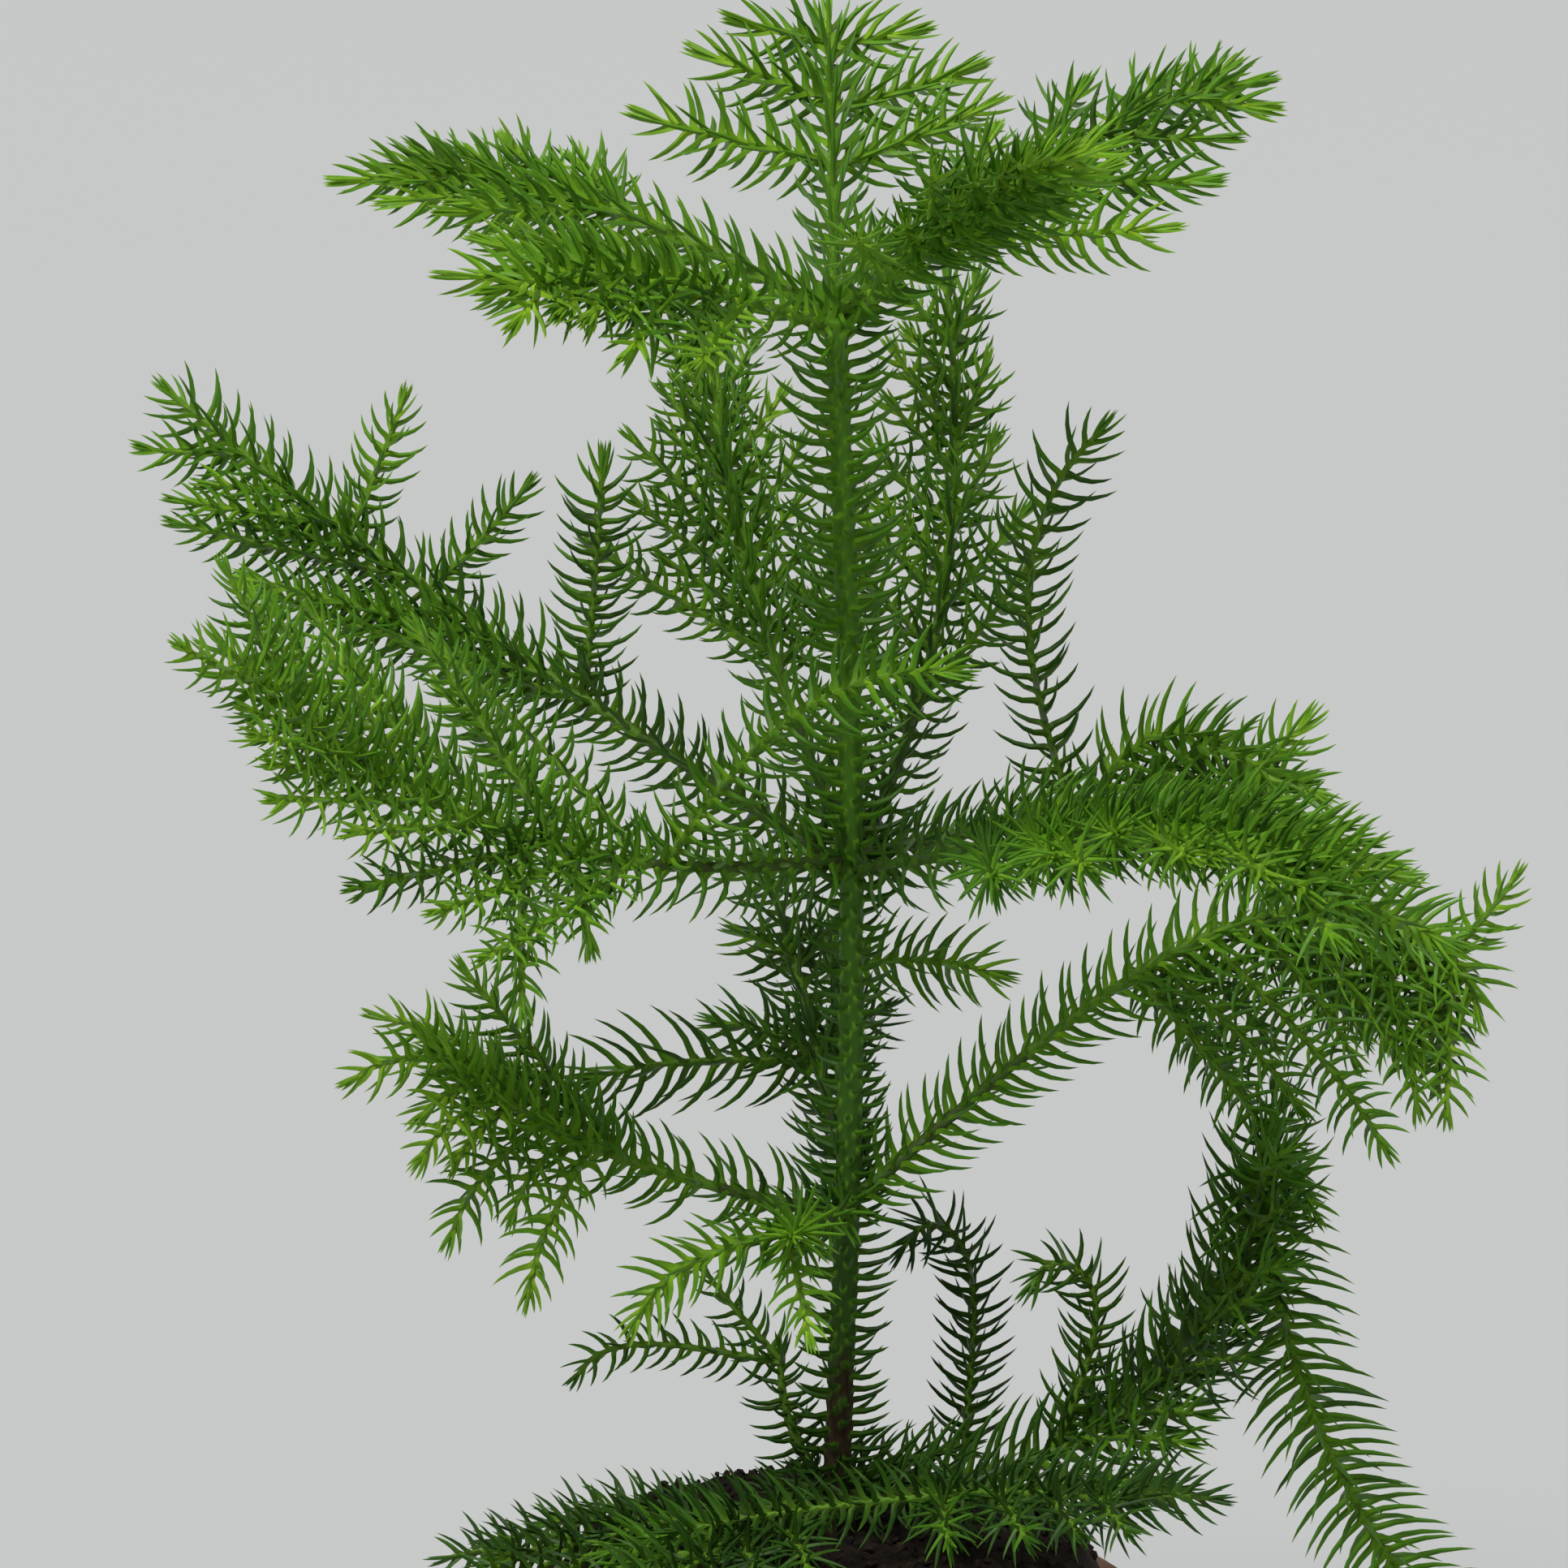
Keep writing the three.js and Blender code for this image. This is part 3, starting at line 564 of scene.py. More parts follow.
def addPeat():
    edgeHeight = peat["top"] - peat["edgeDrop"]
    edge = potInnerRadius(edgeHeight) - peat["gap"]
    bpy.ops.mesh.primitive_circle_add(
        vertices=peat["sides"], radius=edge * mm, fill_type="NGON", location=(0, 0, edgeHeight * mm))
    piece = openMesh()
    step = edge / (peat["rings"] + 0.5)
    for _ in range(peat["rings"]):
        bpy.ops.mesh.inset(thickness=step * mm, use_boundary=True)
    bpy.ops.mesh.poke()
    outer = (edge - step / 2) * mm
    pick("EDGE", lambda rim: all(end.co.xy.length > outer for end in rim.verts))
    shrink = potInnerRadius(edgeHeight - peat["skirt"]) / potInnerRadius(edgeHeight)
    extrudeRing((0, 0, -peat["skirt"] * mm), shrink, (0, 0, 0))
    bpy.ops.mesh.edge_face_add()
    closeMesh()
    calmRadius, fade, least = peat["calm"]
    points = pointsOf(piece.data)
    for place in points:
        if place[2] > (edgeHeight - peat["skirt"] / 2) * mm:
            x, y = place[:2] / mm
            radius = math.hypot(x, y)
            relief = peatRelief(x, y) * min(1, max(least, (radius - calmRadius) / fade))
            place[2] = (peatHeight(radius) + relief) * mm
    setPoints(piece.data, points)
    finishPiece(piece, "peat_heap", finishes["peat"], ["soil"])


def crumbShape():  # corners and sides of one crumb, to be stretched and turned
    bpy.ops.mesh.primitive_ico_sphere_add(subdivisions=1, radius=1)
    start = bpy.context.object
    corners = pointsOf(start.data)
    sides = np.array([list(face.vertices) for face in start.data.polygons])
    bpy.data.objects.remove(start)
    return corners, sides


def addCrumbs():
    draws = np.random.default_rng(crumbs["seed"])
    corners, sides = crumbShape()
    edge = potInnerRadius(peat["top"] - peat["edgeDrop"]) - crumbs["rimRoom"]
    allPoints = []
    allFaces = []
    for i in range(crumbs["count"]):
        radius = edge * math.sqrt(draws.uniform(*crumbs["area"]))
        angle = draws.uniform(0, 2 * math.pi)
        size = lerp(*crumbs["size"], draws.uniform() ** crumbs["smallness"])
        shape = corners * draws.uniform(*crumbs["dents"], (len(corners), 1))
        shape = shape * (size / 2 * draws.uniform(*crumbs["stretch"], 3))
        spin = np.linalg.qr(draws.normal(size=(3, 3)))[0]
        spin *= np.sign(np.linalg.det(spin))
        x, y = radius * math.cos(angle), radius * math.sin(angle)
        height = peatHeight(radius) + peatRelief(x, y) + size * crumbs["proud"]
        allPoints.append(shape @ spin.T + (x, y, height))
        allFaces.append(sides + i * len(corners))
    piece = joinedPiece("peat_crumbs", np.vstack(allPoints), np.empty((0, 4), int), np.vstack(allFaces))
    finishPiece(piece, "peat_crumbs", finishes["crumbs"], [], crumbs["smoothAngle"])


addPeat()
addCrumbs()


# How the plant grows: the whorls of boughs, each a stem with pairs of twigs and a few offshoots.
# Headings run from +X towards +Y. A whorl gives its usual values, and a bough names only what differs.

def limbShape(heading, rise, length, **own):
    return {"heading": heading, "rise": rise, "length": length, **own}


def offshoot(at, heading, rise, length, sag, **own):  # a further twig, at a share of its bough's stem
    return {"at": at, "sag": sag, **limbShape(heading, rise, length, **own)}


def addWhorl(name, height, hasBoughs, **growth):
    whorls[name] = {"height": height, "hasBoughs": hasBoughs, "growth": growth, "boughs": {}}


def addBough(whorlName, name, heading, rise, length, **own):
    whorls[whorlName]["boughs"][name] = limbShape(heading, rise, length, **own)


usual = {
    "drop": 0, "sag": 0, "bend": 2, "swing": 0, "pairs": 4, "first": 0.3, "last": 0.88, "twig": 20,
    "fade": 0.6, "spread": 50, "skew": 0, "narrow": 0.3, "lift": 0, "tilt": 0, "twigSag": 0, "curl": 0.2,
    "side": 0, "needle": 9.5, "twigNeedle": 1, "twigGap": 1, "fine": 0, "fineSide": 0, "youth": 0,
    "ripen": 0, "dry": (0, 0, 0), "extras": [],
}
whorls = {}

addWhorl("top", 292.5, False, twig=30, fade=0.62, last=0.86, spread=52, lift=4, needle=8.5)
addBough(
    "top", "back", 91, 36, 70, pairs=3, first=0.53, last=0.92, twig=31, fade=0.64, spread=66, narrow=-0.22,
    needle=9.5, youth=0.06)
addBough(
    "top", "left_back", 155, 22, 78, sag=25, pairs=3, first=0.52, twig=23, fade=0.4, lift=-4, tilt=-12,
    fine=0.7, youth=0.05)
addBough("top", "front_left", 222, 20, 68, sag=27, lift=-12, tilt=-20, twig=31, fine=0.7, youth=0.12)
addBough("top", "front_right", -50, 32, 58, sag=7, fine=0.6, youth=0.12)
addBough("top", "right_back", 25, 37, 80, sag=33, lift=-12, tilt=16)

addWhorl("upper", 207, True, pairs=5, twig=34, fade=0.55, first=0.32, last=0.9, spread=52, lift=12)
addBough(
    "upper", "left_back", 155, 26.5, 137, sag=-8, first=0.36, last=0.88, spread=22, narrow=-0.9, lift=-30,
    twig=56, fade=0.74, side=1, twigNeedle=0.78, fine=0.6, fineSide=1, youth=-0.04, extras=[
        offshoot(0.38, 70, 76, 36, -4, needle=9),
        offshoot(0.61, 20, 42, 22, -6),
        offshoot(0.73, 32, 62, 22, -6)])
addBough(
    "upper", "front_left", 212, -3, 122, sag=-50, bend=1, skew=-14, lift=6, tilt=-36, twig=46, fade=0.5,
    twigNeedle=0.74, twigGap=1.05, fine=0.82, youth=0.1, extras=[
        offshoot(0.28, -22, 56, 58, 60, swing=12, needle=9),
        offshoot(0.5, 272, -22, 36, 34, needle=6.4, youth=-0.12),
        offshoot(0.42, 280, -20, 20, 44, needle=6, youth=-0.16)])
addBough("upper", "front_right", -42, 16, 102, sag=58, bend=4, fade=0.4, lift=-2, fine=0.8, youth=0.02)
addBough(
    "upper", "right", 12, 8, 72, sag=6, pairs=3, spread=60, lift=40, twigSag=80, twig=24, side=-1, extras=[
        offshoot(0.5, 165, 71, 64, -66, gap=1.3),
        offshoot(0.54, 5, 74, 33, 140, bend=1.3),
        offshoot(0.66, -22, 66, 28, 130, bend=1.3),
        offshoot(0.86, 20, 40, 15, 0)])
addBough(
    "upper", "back_right", 63, 36, 120, swing=34, sag=-18, twig=27, spread=44, skew=14, twigNeedle=0.85,
    twigGap=1.15, fine=0.85, fineSide=1, youth=0.02)
addBough(
    "upper", "back_left", 113, 34, 110, swing=-16, sag=-10, first=0.4, twig=31, fade=0.6, twigNeedle=0.8,
    twigGap=1.2, fine=0.7, youth=0.02)

addWhorl(
    "middle", 153, True, pairs=5, twig=30, fade=0.5, first=0.38, last=0.92, spread=55, lift=-10, twigSag=30)
addBough(
    "middle", "right", 8, 40, 123, sag=118, bend=3.5, first=0.48, spread=78, narrow=0.4, lift=-66, tilt=14,
    twigSag=16, twig=46, fade=0.45, twigNeedle=0.76, fine=0.75, youth=0.03,
    extras=[offshoot(0.92, 22, 40, 15, -14)])
addBough(
    "middle", "left", 188, 14, 73, drop=4.5, sag=-33, pairs=4, first=0.58, spread=62, skew=16, narrow=0.5,
    lift=-8, tilt=-40, twigSag=44, twig=27, fade=0.45, twigNeedle=0.8, twigGap=1.1, fine=0.6, youth=-0.14,
    ripen=0.46, dry=(0.29, 0.34, 0.3), extras=[offshoot(0.5, 160, 46, 38, 0)])
addBough(
    "middle", "front", 262, 4, 53, swing=-80, sag=77, bend=4, pairs=2, twig=6, needle=8, ripen=0.32, extras=[
        offshoot(0.43, 285, -40, 18, 16, needle=7, youth=0.3),
        offshoot(0.36, 262, 8, 13, 0, needle=9.5, gap=0.5, youth=0.16)])
# painted shade: the needles of this back frond are set darker
addBough(
    "middle", "back_left", 106, 48, 64, sag=22, pairs=3, twig=14, lift=10, youth=-0.2,
    extras=[offshoot(0.36, 186, 4, 36, 20, needle=12, gap=1.5)])
addBough(
    "middle", "back_right", 93, 46, 62, sag=44, pairs=2, twig=6,
    extras=[offshoot(0.8, 8, 6, 26, 30, youth=0.16)])

addWhorl("lower", 105.4, True, twig=24, fade=0.4, first=0.4, last=0.92, spread=55, twigSag=15, needle=8)
addBough("lower", "left", 195, -5, 55, sag=4)
addBough(
    "lower", "right", 4, -12, 100, sag=-102, bend=1, needle=13, twigNeedle=0.8, twigGap=1.2, fine=0.8,
    youth=0.05, dry=(0.975, 1, 0.4), extras=[
        offshoot(0.96, -30, -88, 84, -46, bend=1, needle=12.5, gap=0.95, youth=0.24),
        offshoot(0.36, 14, 70, 40, -185, bend=4, needle=8, gap=1.1)])
addBough(
    "lower", "back", 145, 32, 25, sag=-63, bend=1, pairs=2, twig=6, needle=7.2, youth=0.12, extras=[
        offshoot(0.97, 165, 45, 17, -7, needle=6, gap=1.25),
        offshoot(0.95, 178, 10, 34, 70, bend=4, needle=6, gap=1.3)])
addBough(
    "lower", "back_right", 48, -3, 33, pairs=2, twig=6, needle=7,
    extras=[offshoot(0.95, 40, 84, 49, -158, bend=4, needle=8)])
addBough(
    "lower", "front_right", -38, 12, 57, sag=6, twig=25, youth=-0.06, extras=[offshoot(0.5, 196, 0, 50, 8)])
addBough("lower", "front", 238, -2, 50, sag=8)

rule = {
    "firstSeed": 11,
    "seedStep": 7,
    "limbSeeds": 100,  # kept for the limbs of each bough
    "fineSeed": 5000,  # added for the finer twigs
    "draw": (1664525, 1013904223, 4294967296),  # factor, step and range
    "stagger": 2.7,  # every second bough of a whorl leaves the trunk this much higher
    "pairOffset": 0.012,  # of the two twigs of a pair, along their stem
    "place": 0.015,  # how far single twigs stray from the rule
    "spread": 6,
    "lift": 8,
    "length": 0.12,
    "step": 2.2,  # paths are drawn in steps of about this length
    "fewestSteps": 6,
    "soilRoom": 1.5,  # what a twig keeps clear of the peat
    "shortest": 7,
    "fewestPoints": 4,
}

trunk = {
    "foot": 99,
    "flat": 100,  # where the solid trunk stands on the peat
    "budBase": 294.5,
    "footRadius": 2,
    "topRadius": 1.5,
    "flare": 1.3,
    "flareHeight": 5,
    "bow": 2.6,
    "sides": 40,
    "rings": 30,
    "longEdge": 3,
    "cuts": 12,  # further rings between those, for the relief
    "cap": (1.2, 0.7),  # height of the blunt end under the bud, and its share of the width
    "cushion": (2.6, 0.8, 0.6),  # length, half width and height of a needle's foot on the bark
    "cushionTop": 0.5,  # above the needle
    "cushionSwell": 0.25,  # share of its length over which it rises
    "fissure": 0.16,
    "fissureScale": (1.4, 1.4, 0.32),
    "fineFissure": (2.7, 0.5),  # finer by this, and shallower
    "cracking": ([100, 130, 170], [1, 0.8, 0.25]),  # heights, and how far the bark has cracked there
    "needle": ([100, 145, 175, 190, 202, 245], [7.4, 7, 4.8, 6, 8, 10.2]),  # heights, and lengths there
    "spacing": ([100, 150, 190, 230], [0.44, 0.5, 0.54, 0.48]),
    "tipLean": ([100, 170, 220], [58, 56, 42]),
    "stray": 12,  # degrees, round the trunk
    "ownLean": 6,
    "age": ([100, 150, 205, 225, 297], [0.22, 0.25, 0.3, 0.44, 0.56]),
    "needlesFrom": 2,  # above the flat foot
    "pathPoints": 60,
    "seed": 77,
}


class Draws:  # seeded, the same on every run
    def __init__(self, seed):
        self.state = seed

    def spread(self, width):
        factor, step, size = rule["draw"]
        self.state = (self.state * factor + step) % size
        return (2 * self.state / size - 1) * width


def direction(heading, pitch):
    turn = np.radians(heading)
    climb = np.radians(pitch)
    return np.stack([np.cos(climb) * np.cos(turn), np.cos(climb) * np.sin(turn), np.sin(climb)], axis=-1)


def limbPath(start, limb):  # leaves at its rise and bends by its sag, the later the greater its bend is
    count = max(rule["fewestSteps"], round(limb["length"] / rule["step"]))
    share = (np.arange(count) + 0.5) / count
    heading = limb["heading"] + limb.get("swing", 0) * share
    climb = limb["rise"] - limb["sag"] * share ** limb.get("bend", 2)
    moves = direction(heading, climb) * (limb["length"] / count)
    return np.vstack([start, start + np.cumsum(moves, axis=0)])


def pathAt(path, share):
    place = share * (len(path) - 1)
    i = min(int(place), len(path) - 2)
    along = path[i + 1] - path[i]
    return path[i] + along * (place - i), along / np.linalg.norm(along)


def pathLength(path):
    return float(np.linalg.norm(np.diff(path, axis=0), axis=1).sum())


def trunkShare(height):
    return (height - trunk["flat"]) / (trunk["budBase"] - trunk["flat"])


def trunkPoint(height):
    return np.array([trunk["bow"] * math.sin(math.pi * max(0, trunkShare(height))), 0, height])


def trunkRadius(height):
    flare = trunk["flare"] * math.exp((trunk["flat"] - max(trunk["flat"], height)) / trunk["flareHeight"])
    return lerp(trunk["footRadius"], trunk["topRadius"], trunkShare(height)) + flare


def twigPath(stem, growth, share, side, spread, lift, length):
    point, along = pathAt(stem, share)
    above = np.array([0, 0, 1]) - along * along[2]
    above /= np.linalg.norm(above)
    left = np.cross(above, along)
    lifted = math.radians(lift)
    fan = math.radians(spread)
    out = left * side * math.cos(lifted) + above * math.sin(lifted)
    leaving = along * math.cos(fan) + out * math.sin(fan)
    heading = math.degrees(math.atan2(leaving[1], leaving[0]))
    rise = math.degrees(math.asin(max(-1, min(1, leaving[2]))))
    stemHeading = math.degrees(math.atan2(along[1], along[0]))
    turn = (stemHeading - heading + 180) % 360 - 180
    swing = turn * growth["curl"]
    return limbPath(point, limbShape(heading, rise, length, sag=growth["twigSag"], swing=swing))


def pairOfTwigs(stem, growth, share, draws, size, only):  # one to each side of the stem, or to only one
    twigs = []
    for side in (1, -1):
        place = lerp(growth["first"], growth["last"], share) + side * rule["pairOffset"]
        place += draws.spread(rule["place"])
        fan = (growth["spread"] + side * growth["skew"]) * (1 - growth["narrow"] * share)
        fan += draws.spread(rule["spread"])
        lift = growth["lift"] + side * growth["tilt"] + draws.spread(rule["lift"])
        length = growth["twig"] * (1 - growth["fade"] * share) * (1 + draws.spread(rule["length"]))
        if only * side >= 0:
            twigs.append(twigPath(stem, growth, place, side, fan, lift, length * size))
    return twigs


def frondPaths(growth, start, seed):  # the stem, and each twig with what its needles are like
    stem = limbPath(start, growth)
    draws = Draws(seed)
    fineDraws = Draws(seed + rule["fineSeed"])
    needle = growth["needle"] * growth["twigNeedle"]
    gaps = growth["pairs"] - 1
    twigs = []

    def addPair(share, *values):
        youth = growth["ripen"] * lerp(growth["first"], growth["last"], share)
        for path in pairOfTwigs(stem, growth, share, *values):
            twigs.append({"path": path, "needle": needle, "gap": growth["twigGap"], "youth": youth})

    for pair in range(growth["pairs"]):
        addPair(pair / gaps, draws, 1, growth["side"])
    for pair in range(gaps if growth["fine"] else 0):  # finer twigs halfway between the pairs
        addPair((pair + 0.5) / gaps, fineDraws, growth["fine"], growth["fineSide"])
    for extra in growth["extras"]:
        path = limbPath(pathAt(stem, extra["at"])[0], extra)
        own = {"needle": needle, "gap": 1, "youth": growth["ripen"] * extra["at"], **extra}
        twigs.append({"path": path, "needle": own["needle"], "gap": own["gap"], "youth": own["youth"]})
    return stem, twigs


def clearOfPeat(points, room):
    out = np.hypot(points[:, 0], points[:, 1])
    inside = out < pot["rimRadius"] - pot["wall"]
    floor = np.array([peatHeight(radius) if within else pot["height"] for radius, within in zip(out, inside)])
    return (out > pot["rimRadius"] + room) | (points[:, 2] > floor + room)


def clearPart(path):
    clear = clearOfPeat(path, rule["soilRoom"])
    if clear.all():
        return path
    return path[:int(np.argmin(clear))]


def growLimbs():
    limbs = []
    seed = rule["firstSeed"]
    for whorlName, whorl in whorls.items():
        for index, own in enumerate(whorl["boughs"].values()):
            seed += rule["seedStep"]
            limbSeed = seed * rule["limbSeeds"]
            growth = {**usual, **whorl["growth"], **own}
            start = trunkPoint(whorl["height"] + (index % 2) * rule["stagger"] - growth["drop"])
            stem, twigs = frondPaths(growth, start, seed)
            limbs.append({
                "whorl": whorlName, "kind": "stem", "path": stem, "needle": growth["needle"], "gap": 1,
                "youth": growth["youth"], "ripen": growth["ripen"], "dry": growth["dry"], "seed": limbSeed,
            })
            for i, twig in enumerate(twigs):
                path = clearPart(twig["path"])
                if len(path) >= rule["fewestPoints"] and pathLength(path) > rule["shortest"]:
                    limbs.append({
                        **twig, "whorl": whorlName, "kind": "twig", "path": path,
                        "youth": growth["youth"] + twig["youth"], "seed": limbSeed + i + 1,
                    })
    return limbs


limbs = growLimbs()
print("limbs grown:", len(limbs))


# Needles

def byGroup(*values):  # one value for each group of needles
    return dict(zip(("top", "upper", "middle", "lower", "trunk"), values))


needles = {
    "turn": 137.51,  # from one needle to the next round the shoot
    "stray": 4,  # degrees
    "spacing": byGroup(0.64, 0.58, 0.58, 0.54),  # along the shoot
    "start": 1.2,  # from its foot
    "samples": 600,
    "lean": byGroup((74, 28), (88, 34), (86, 34), (88, 40), (97, 60)),  # off the shoot, at foot and tip
    "curl": 0.85,  # the less, the nearer its foot a needle bends
    "limbLean": 7,  # how far the needles of a whole limb stray from that
    "ownLean": 3,
    "tipLean": byGroup((26, 6), (30, 9), (32, 11), (36, 14), (36, 14)),  # in the bud at a shoot's end
    "tipZone": 7,  # length of shoot over which needles close up into the bud
    "closing": 1.4,  # the greater, the later they do
    "tipSize": byGroup(0.78, 0.6, 0.6, 0.6, 0.6),
    "tipSlim": 0.86,
    "tuft": byGroup(8, 6, 5, 5, 9),  # needles at the very end of a shoot
    "tuftLean": byGroup((4, 20), (8, 34), (8, 34), (8, 34), (8, 34)),
    "tuftBack": 0.3,  # from that end
    "tuftRadius": 0.4,  # of the shoot's
    "stout": byGroup(1.14, 1, 1, 0.95, 1.16),  # thickness, of the usual
    "usualSize": 9.5,
    "slimming": 0.35,  # power of the size that the thickness follows
    "size": 0.06,  # how far lengths stray
    "sizeLimits": (-0.2, 0.15),
    "upturn": 0.1,  # how far a needle bends to the light
    "rings": (0, 0.09, 0.32, 0.57, 0.81),  # places along a needle
    "deep": (1.6, 1.08, 0.94, 0.76, 0.46),  # its size across, in the plane of its curve
    "wide": (0.88, 0.78, 0.7, 0.58, 0.37),
    "fin": (1, 0.5, 0.4),  # depth of its foot, of that: along the shoot, in the bud and in the tuft
    "sunk": 0.3,  # how far its foot lies inside the shoot's surface
    "footShift": 0.5,  # how far its foot runs back down the shoot
    "peatRoom": 0.2,
    "smoothAngle": 45,
}

ages = {  # tint of a spray: from 0, dark, for old needles and for painted shade, to 1, bright and young, and below 0 where it has died
    # the lowest whorl starts far darker than the others: painted shade, for the shade that the boughs above
    # cast on it
    "base": byGroup(0.46, 0.4, 0.38, 0.1),
    "reach": 0.17,  # added at 100 mm from the trunk
    "tip": byGroup(0.4, 0.28, 0.26, 0.14, 0.24),  # added in the buds
    "limbStray": 0.1,
    "needleStray": 0.05,
    "steps": (("dry", -0.5), ("dusk", 0.14), ("deep", 0.34), ("leaf", 0.58), ("fresh", 0.84), ("bud", 9)),
    "fewest": 5,  # needles that make a piece
}

shoots = {
    "stem": (1.0, 0.5),  # radius at the trunk and at the tip
    "twig": (0.58, 0.4),
    "sides": 8,
    "ring": 1.1,  # about this far apart
    "fewestRings": 4,
    "knob": 0.12,  # unevenness, as a share of the radius
    "knobLimit": 1.6,
    "oldPart": 0.3,  # share of a stem that has started to turn woody
    "seed": 31,
}


def unit(vectors):
    return vectors / np.linalg.norm(vectors, axis=-1, keepdims=True)


def along(path, distances):  # points and directions at distances along a path
    lengths = np.linalg.norm(np.diff(path, axis=0), axis=1)
    marks = np.concatenate([[0], np.cumsum(lengths)])
    ways = unit(np.gradient(path, axis=0))
    points = np.stack([np.interp(distances, marks, path[:, k]) for k in range(3)], axis=1)
    heads = np.stack([np.interp(distances, marks, ways[:, k]) for k in range(3)], axis=1)
    return points, unit(heads)


def sideways(heads):  # a steady direction across each head, and the one square to both
    reference = np.where(np.abs(heads[:, 2:]) > 0.97, [[0.0, 1.0, 0.0]], [[0.0, 0.0, 1.0]])
    across = unit(np.cross(reference, heads))
    return across, np.cross(heads, across)


def needlePlaces(limb, length):  # distances along a limb
    reach = np.linspace(needles["start"], length, needles["samples"])
    if limb["kind"] == "trunk":
        gaps = np.interp(trunk["flat"] + reach, *trunk["spacing"])
    else:
        gaps = np.full(len(reach), needles["spacing"][limb["whorl"]] * limb["gap"])
    counts = np.cumsum(np.gradient(reach) / gaps)
    return np.interp(np.arange(int(counts[-1])), counts, reach)


def dressLimb(limb):  # needles of one limb: where each stands, how it leans and its age
    draws = np.random.default_rng(limb["seed"])
    group = limb["whorl"]
    length = pathLength(limb["path"])
    places = needlePlaces(limb, length)
    tuft = needles["tuft"][group]
    isTuft = np.arange(len(places) + tuft) >= len(places)
    places = np.concatenate([places, np.full(tuft, length - needles["tuftBack"])])
    count = len(places)
    points, heads = along(limb["path"], places)
    across, over = sideways(heads)
    turns = np.radians(draws.uniform(0, 360) + np.arange(count) * needles["turn"])
    own = trunk if group == "trunk" else needles
    turns += np.radians(draws.normal(0, own["stray"], count))
    out = across * np.cos(turns)[:, None] + over * np.sin(turns)[:, None]
    closing = (places - (length - needles["tipZone"])) / needles["tipZone"]
    closing = np.clip(closing, 0, 1) ** needles["closing"]
    foot, tip = needles["lean"][group]
    if group == "trunk":
        heights = points[:, 2]
        size = np.interp(heights, *trunk["needle"])
        tip = np.interp(heights, *trunk["tipLean"])
        age = np.interp(heights, *trunk["age"])
        radius = np.array([trunkRadius(height) for height in heights])
    else:
        size = limb["needle"]
        radius = lerp(*shoots[limb["kind"]], places / length)
        foot, tip = np.array([foot, tip]) + draws.normal(0, needles["limbLean"], 2)
        age = ages["base"][group] + limb["youth"]
        age = age + ages["reach"] * np.hypot(points[:, 0], points[:, 1]) / 100
        age += limb.get("ripen", 0) * places / length
    budFoot, budTip = needles["tipLean"][group]
    leanFoot = lerp(foot, budFoot, closing) + draws.normal(0, own["ownLean"], count)
    leanTip = lerp(tip, budTip, closing) + draws.normal(0, own["ownLean"], count)
    leanFoot = np.where(isTuft, draws.uniform(*needles["tuftLean"][group], count), leanFoot)
    leanTip = np.where(isTuft, draws.uniform(0, budTip, count), leanTip)
    size = size * (1 + draws.normal(0, needles["size"], count).clip(*needles["sizeLimits"]))
    slim = needles["stout"][group] * (size / needles["usualSize"]) ** needles["slimming"]
    age = age + ages["tip"][group] * closing
    age = age + draws.normal(0, ages["limbStray"]) + draws.normal(0, ages["needleStray"], count)
    if "dry" in limb:
        begin, end, part = limb["dry"]
        share = places / length
        isDry = (share > begin) & (share < end) & (draws.uniform(size=count) < part)
        age = np.where(isDry, -1, age)
    footRadius = np.where(isTuft, radius * needles["tuftRadius"], radius) - needles["sunk"]
    usualFin, budFin, tuftFin = needles["fin"]
    return {
        "roots": points + out * footRadius[:, None], "heads": heads, "out": out,
        "leanFoot": leanFoot, "leanTip": leanTip, "age": age,
        "size": size * lerp(1, needles["tipSize"][group], closing),
        "slim": slim * lerp(1, needles["tipSlim"], closing),
        "fin": np.where(isTuft, tuftFin, lerp(usualFin, budFin, closing)),
    }


def needleRings(batch):  # the ring centres, tangents and side directions of a batch of needles
    stops = np.array(needles["rings"] + (1.0,))
    side = np.cross(batch["heads"], batch["out"])
    upward = np.array([0.0, 0.0, 1.0]) * needles["upturn"]
    centre = batch["roots"].copy()
    centres = [centre]
    tangents = []
    for i in range(len(stops)):
        middle = stops[i] if i == len(stops) - 1 else (stops[i] + stops[i + 1]) / 2
        lean = np.radians(lerp(batch["leanFoot"], batch["leanTip"], middle ** needles["curl"]))[:, None]
        way = batch["out"] * np.sin(lean) + batch["heads"] * np.cos(lean)
        way = unit(way + upward * middle)
        tangents.append(way)
        if i < len(stops) - 1:
            centre = centre + way * (batch["size"] * (stops[i + 1] - stops[i]))[:, None]
            centres.append(centre)
    return np.stack(centres, 1), np.stack(tangents, 1), side


def ringFaces(rings, sides):  # the quads between each ring of points and the next
    low = np.arange((rings - 1) * sides)
    beside = np.where((low + 1) % sides, low + 1, low + 1 - sides)
    return np.stack([low, beside, beside + sides, low + sides], axis=1)


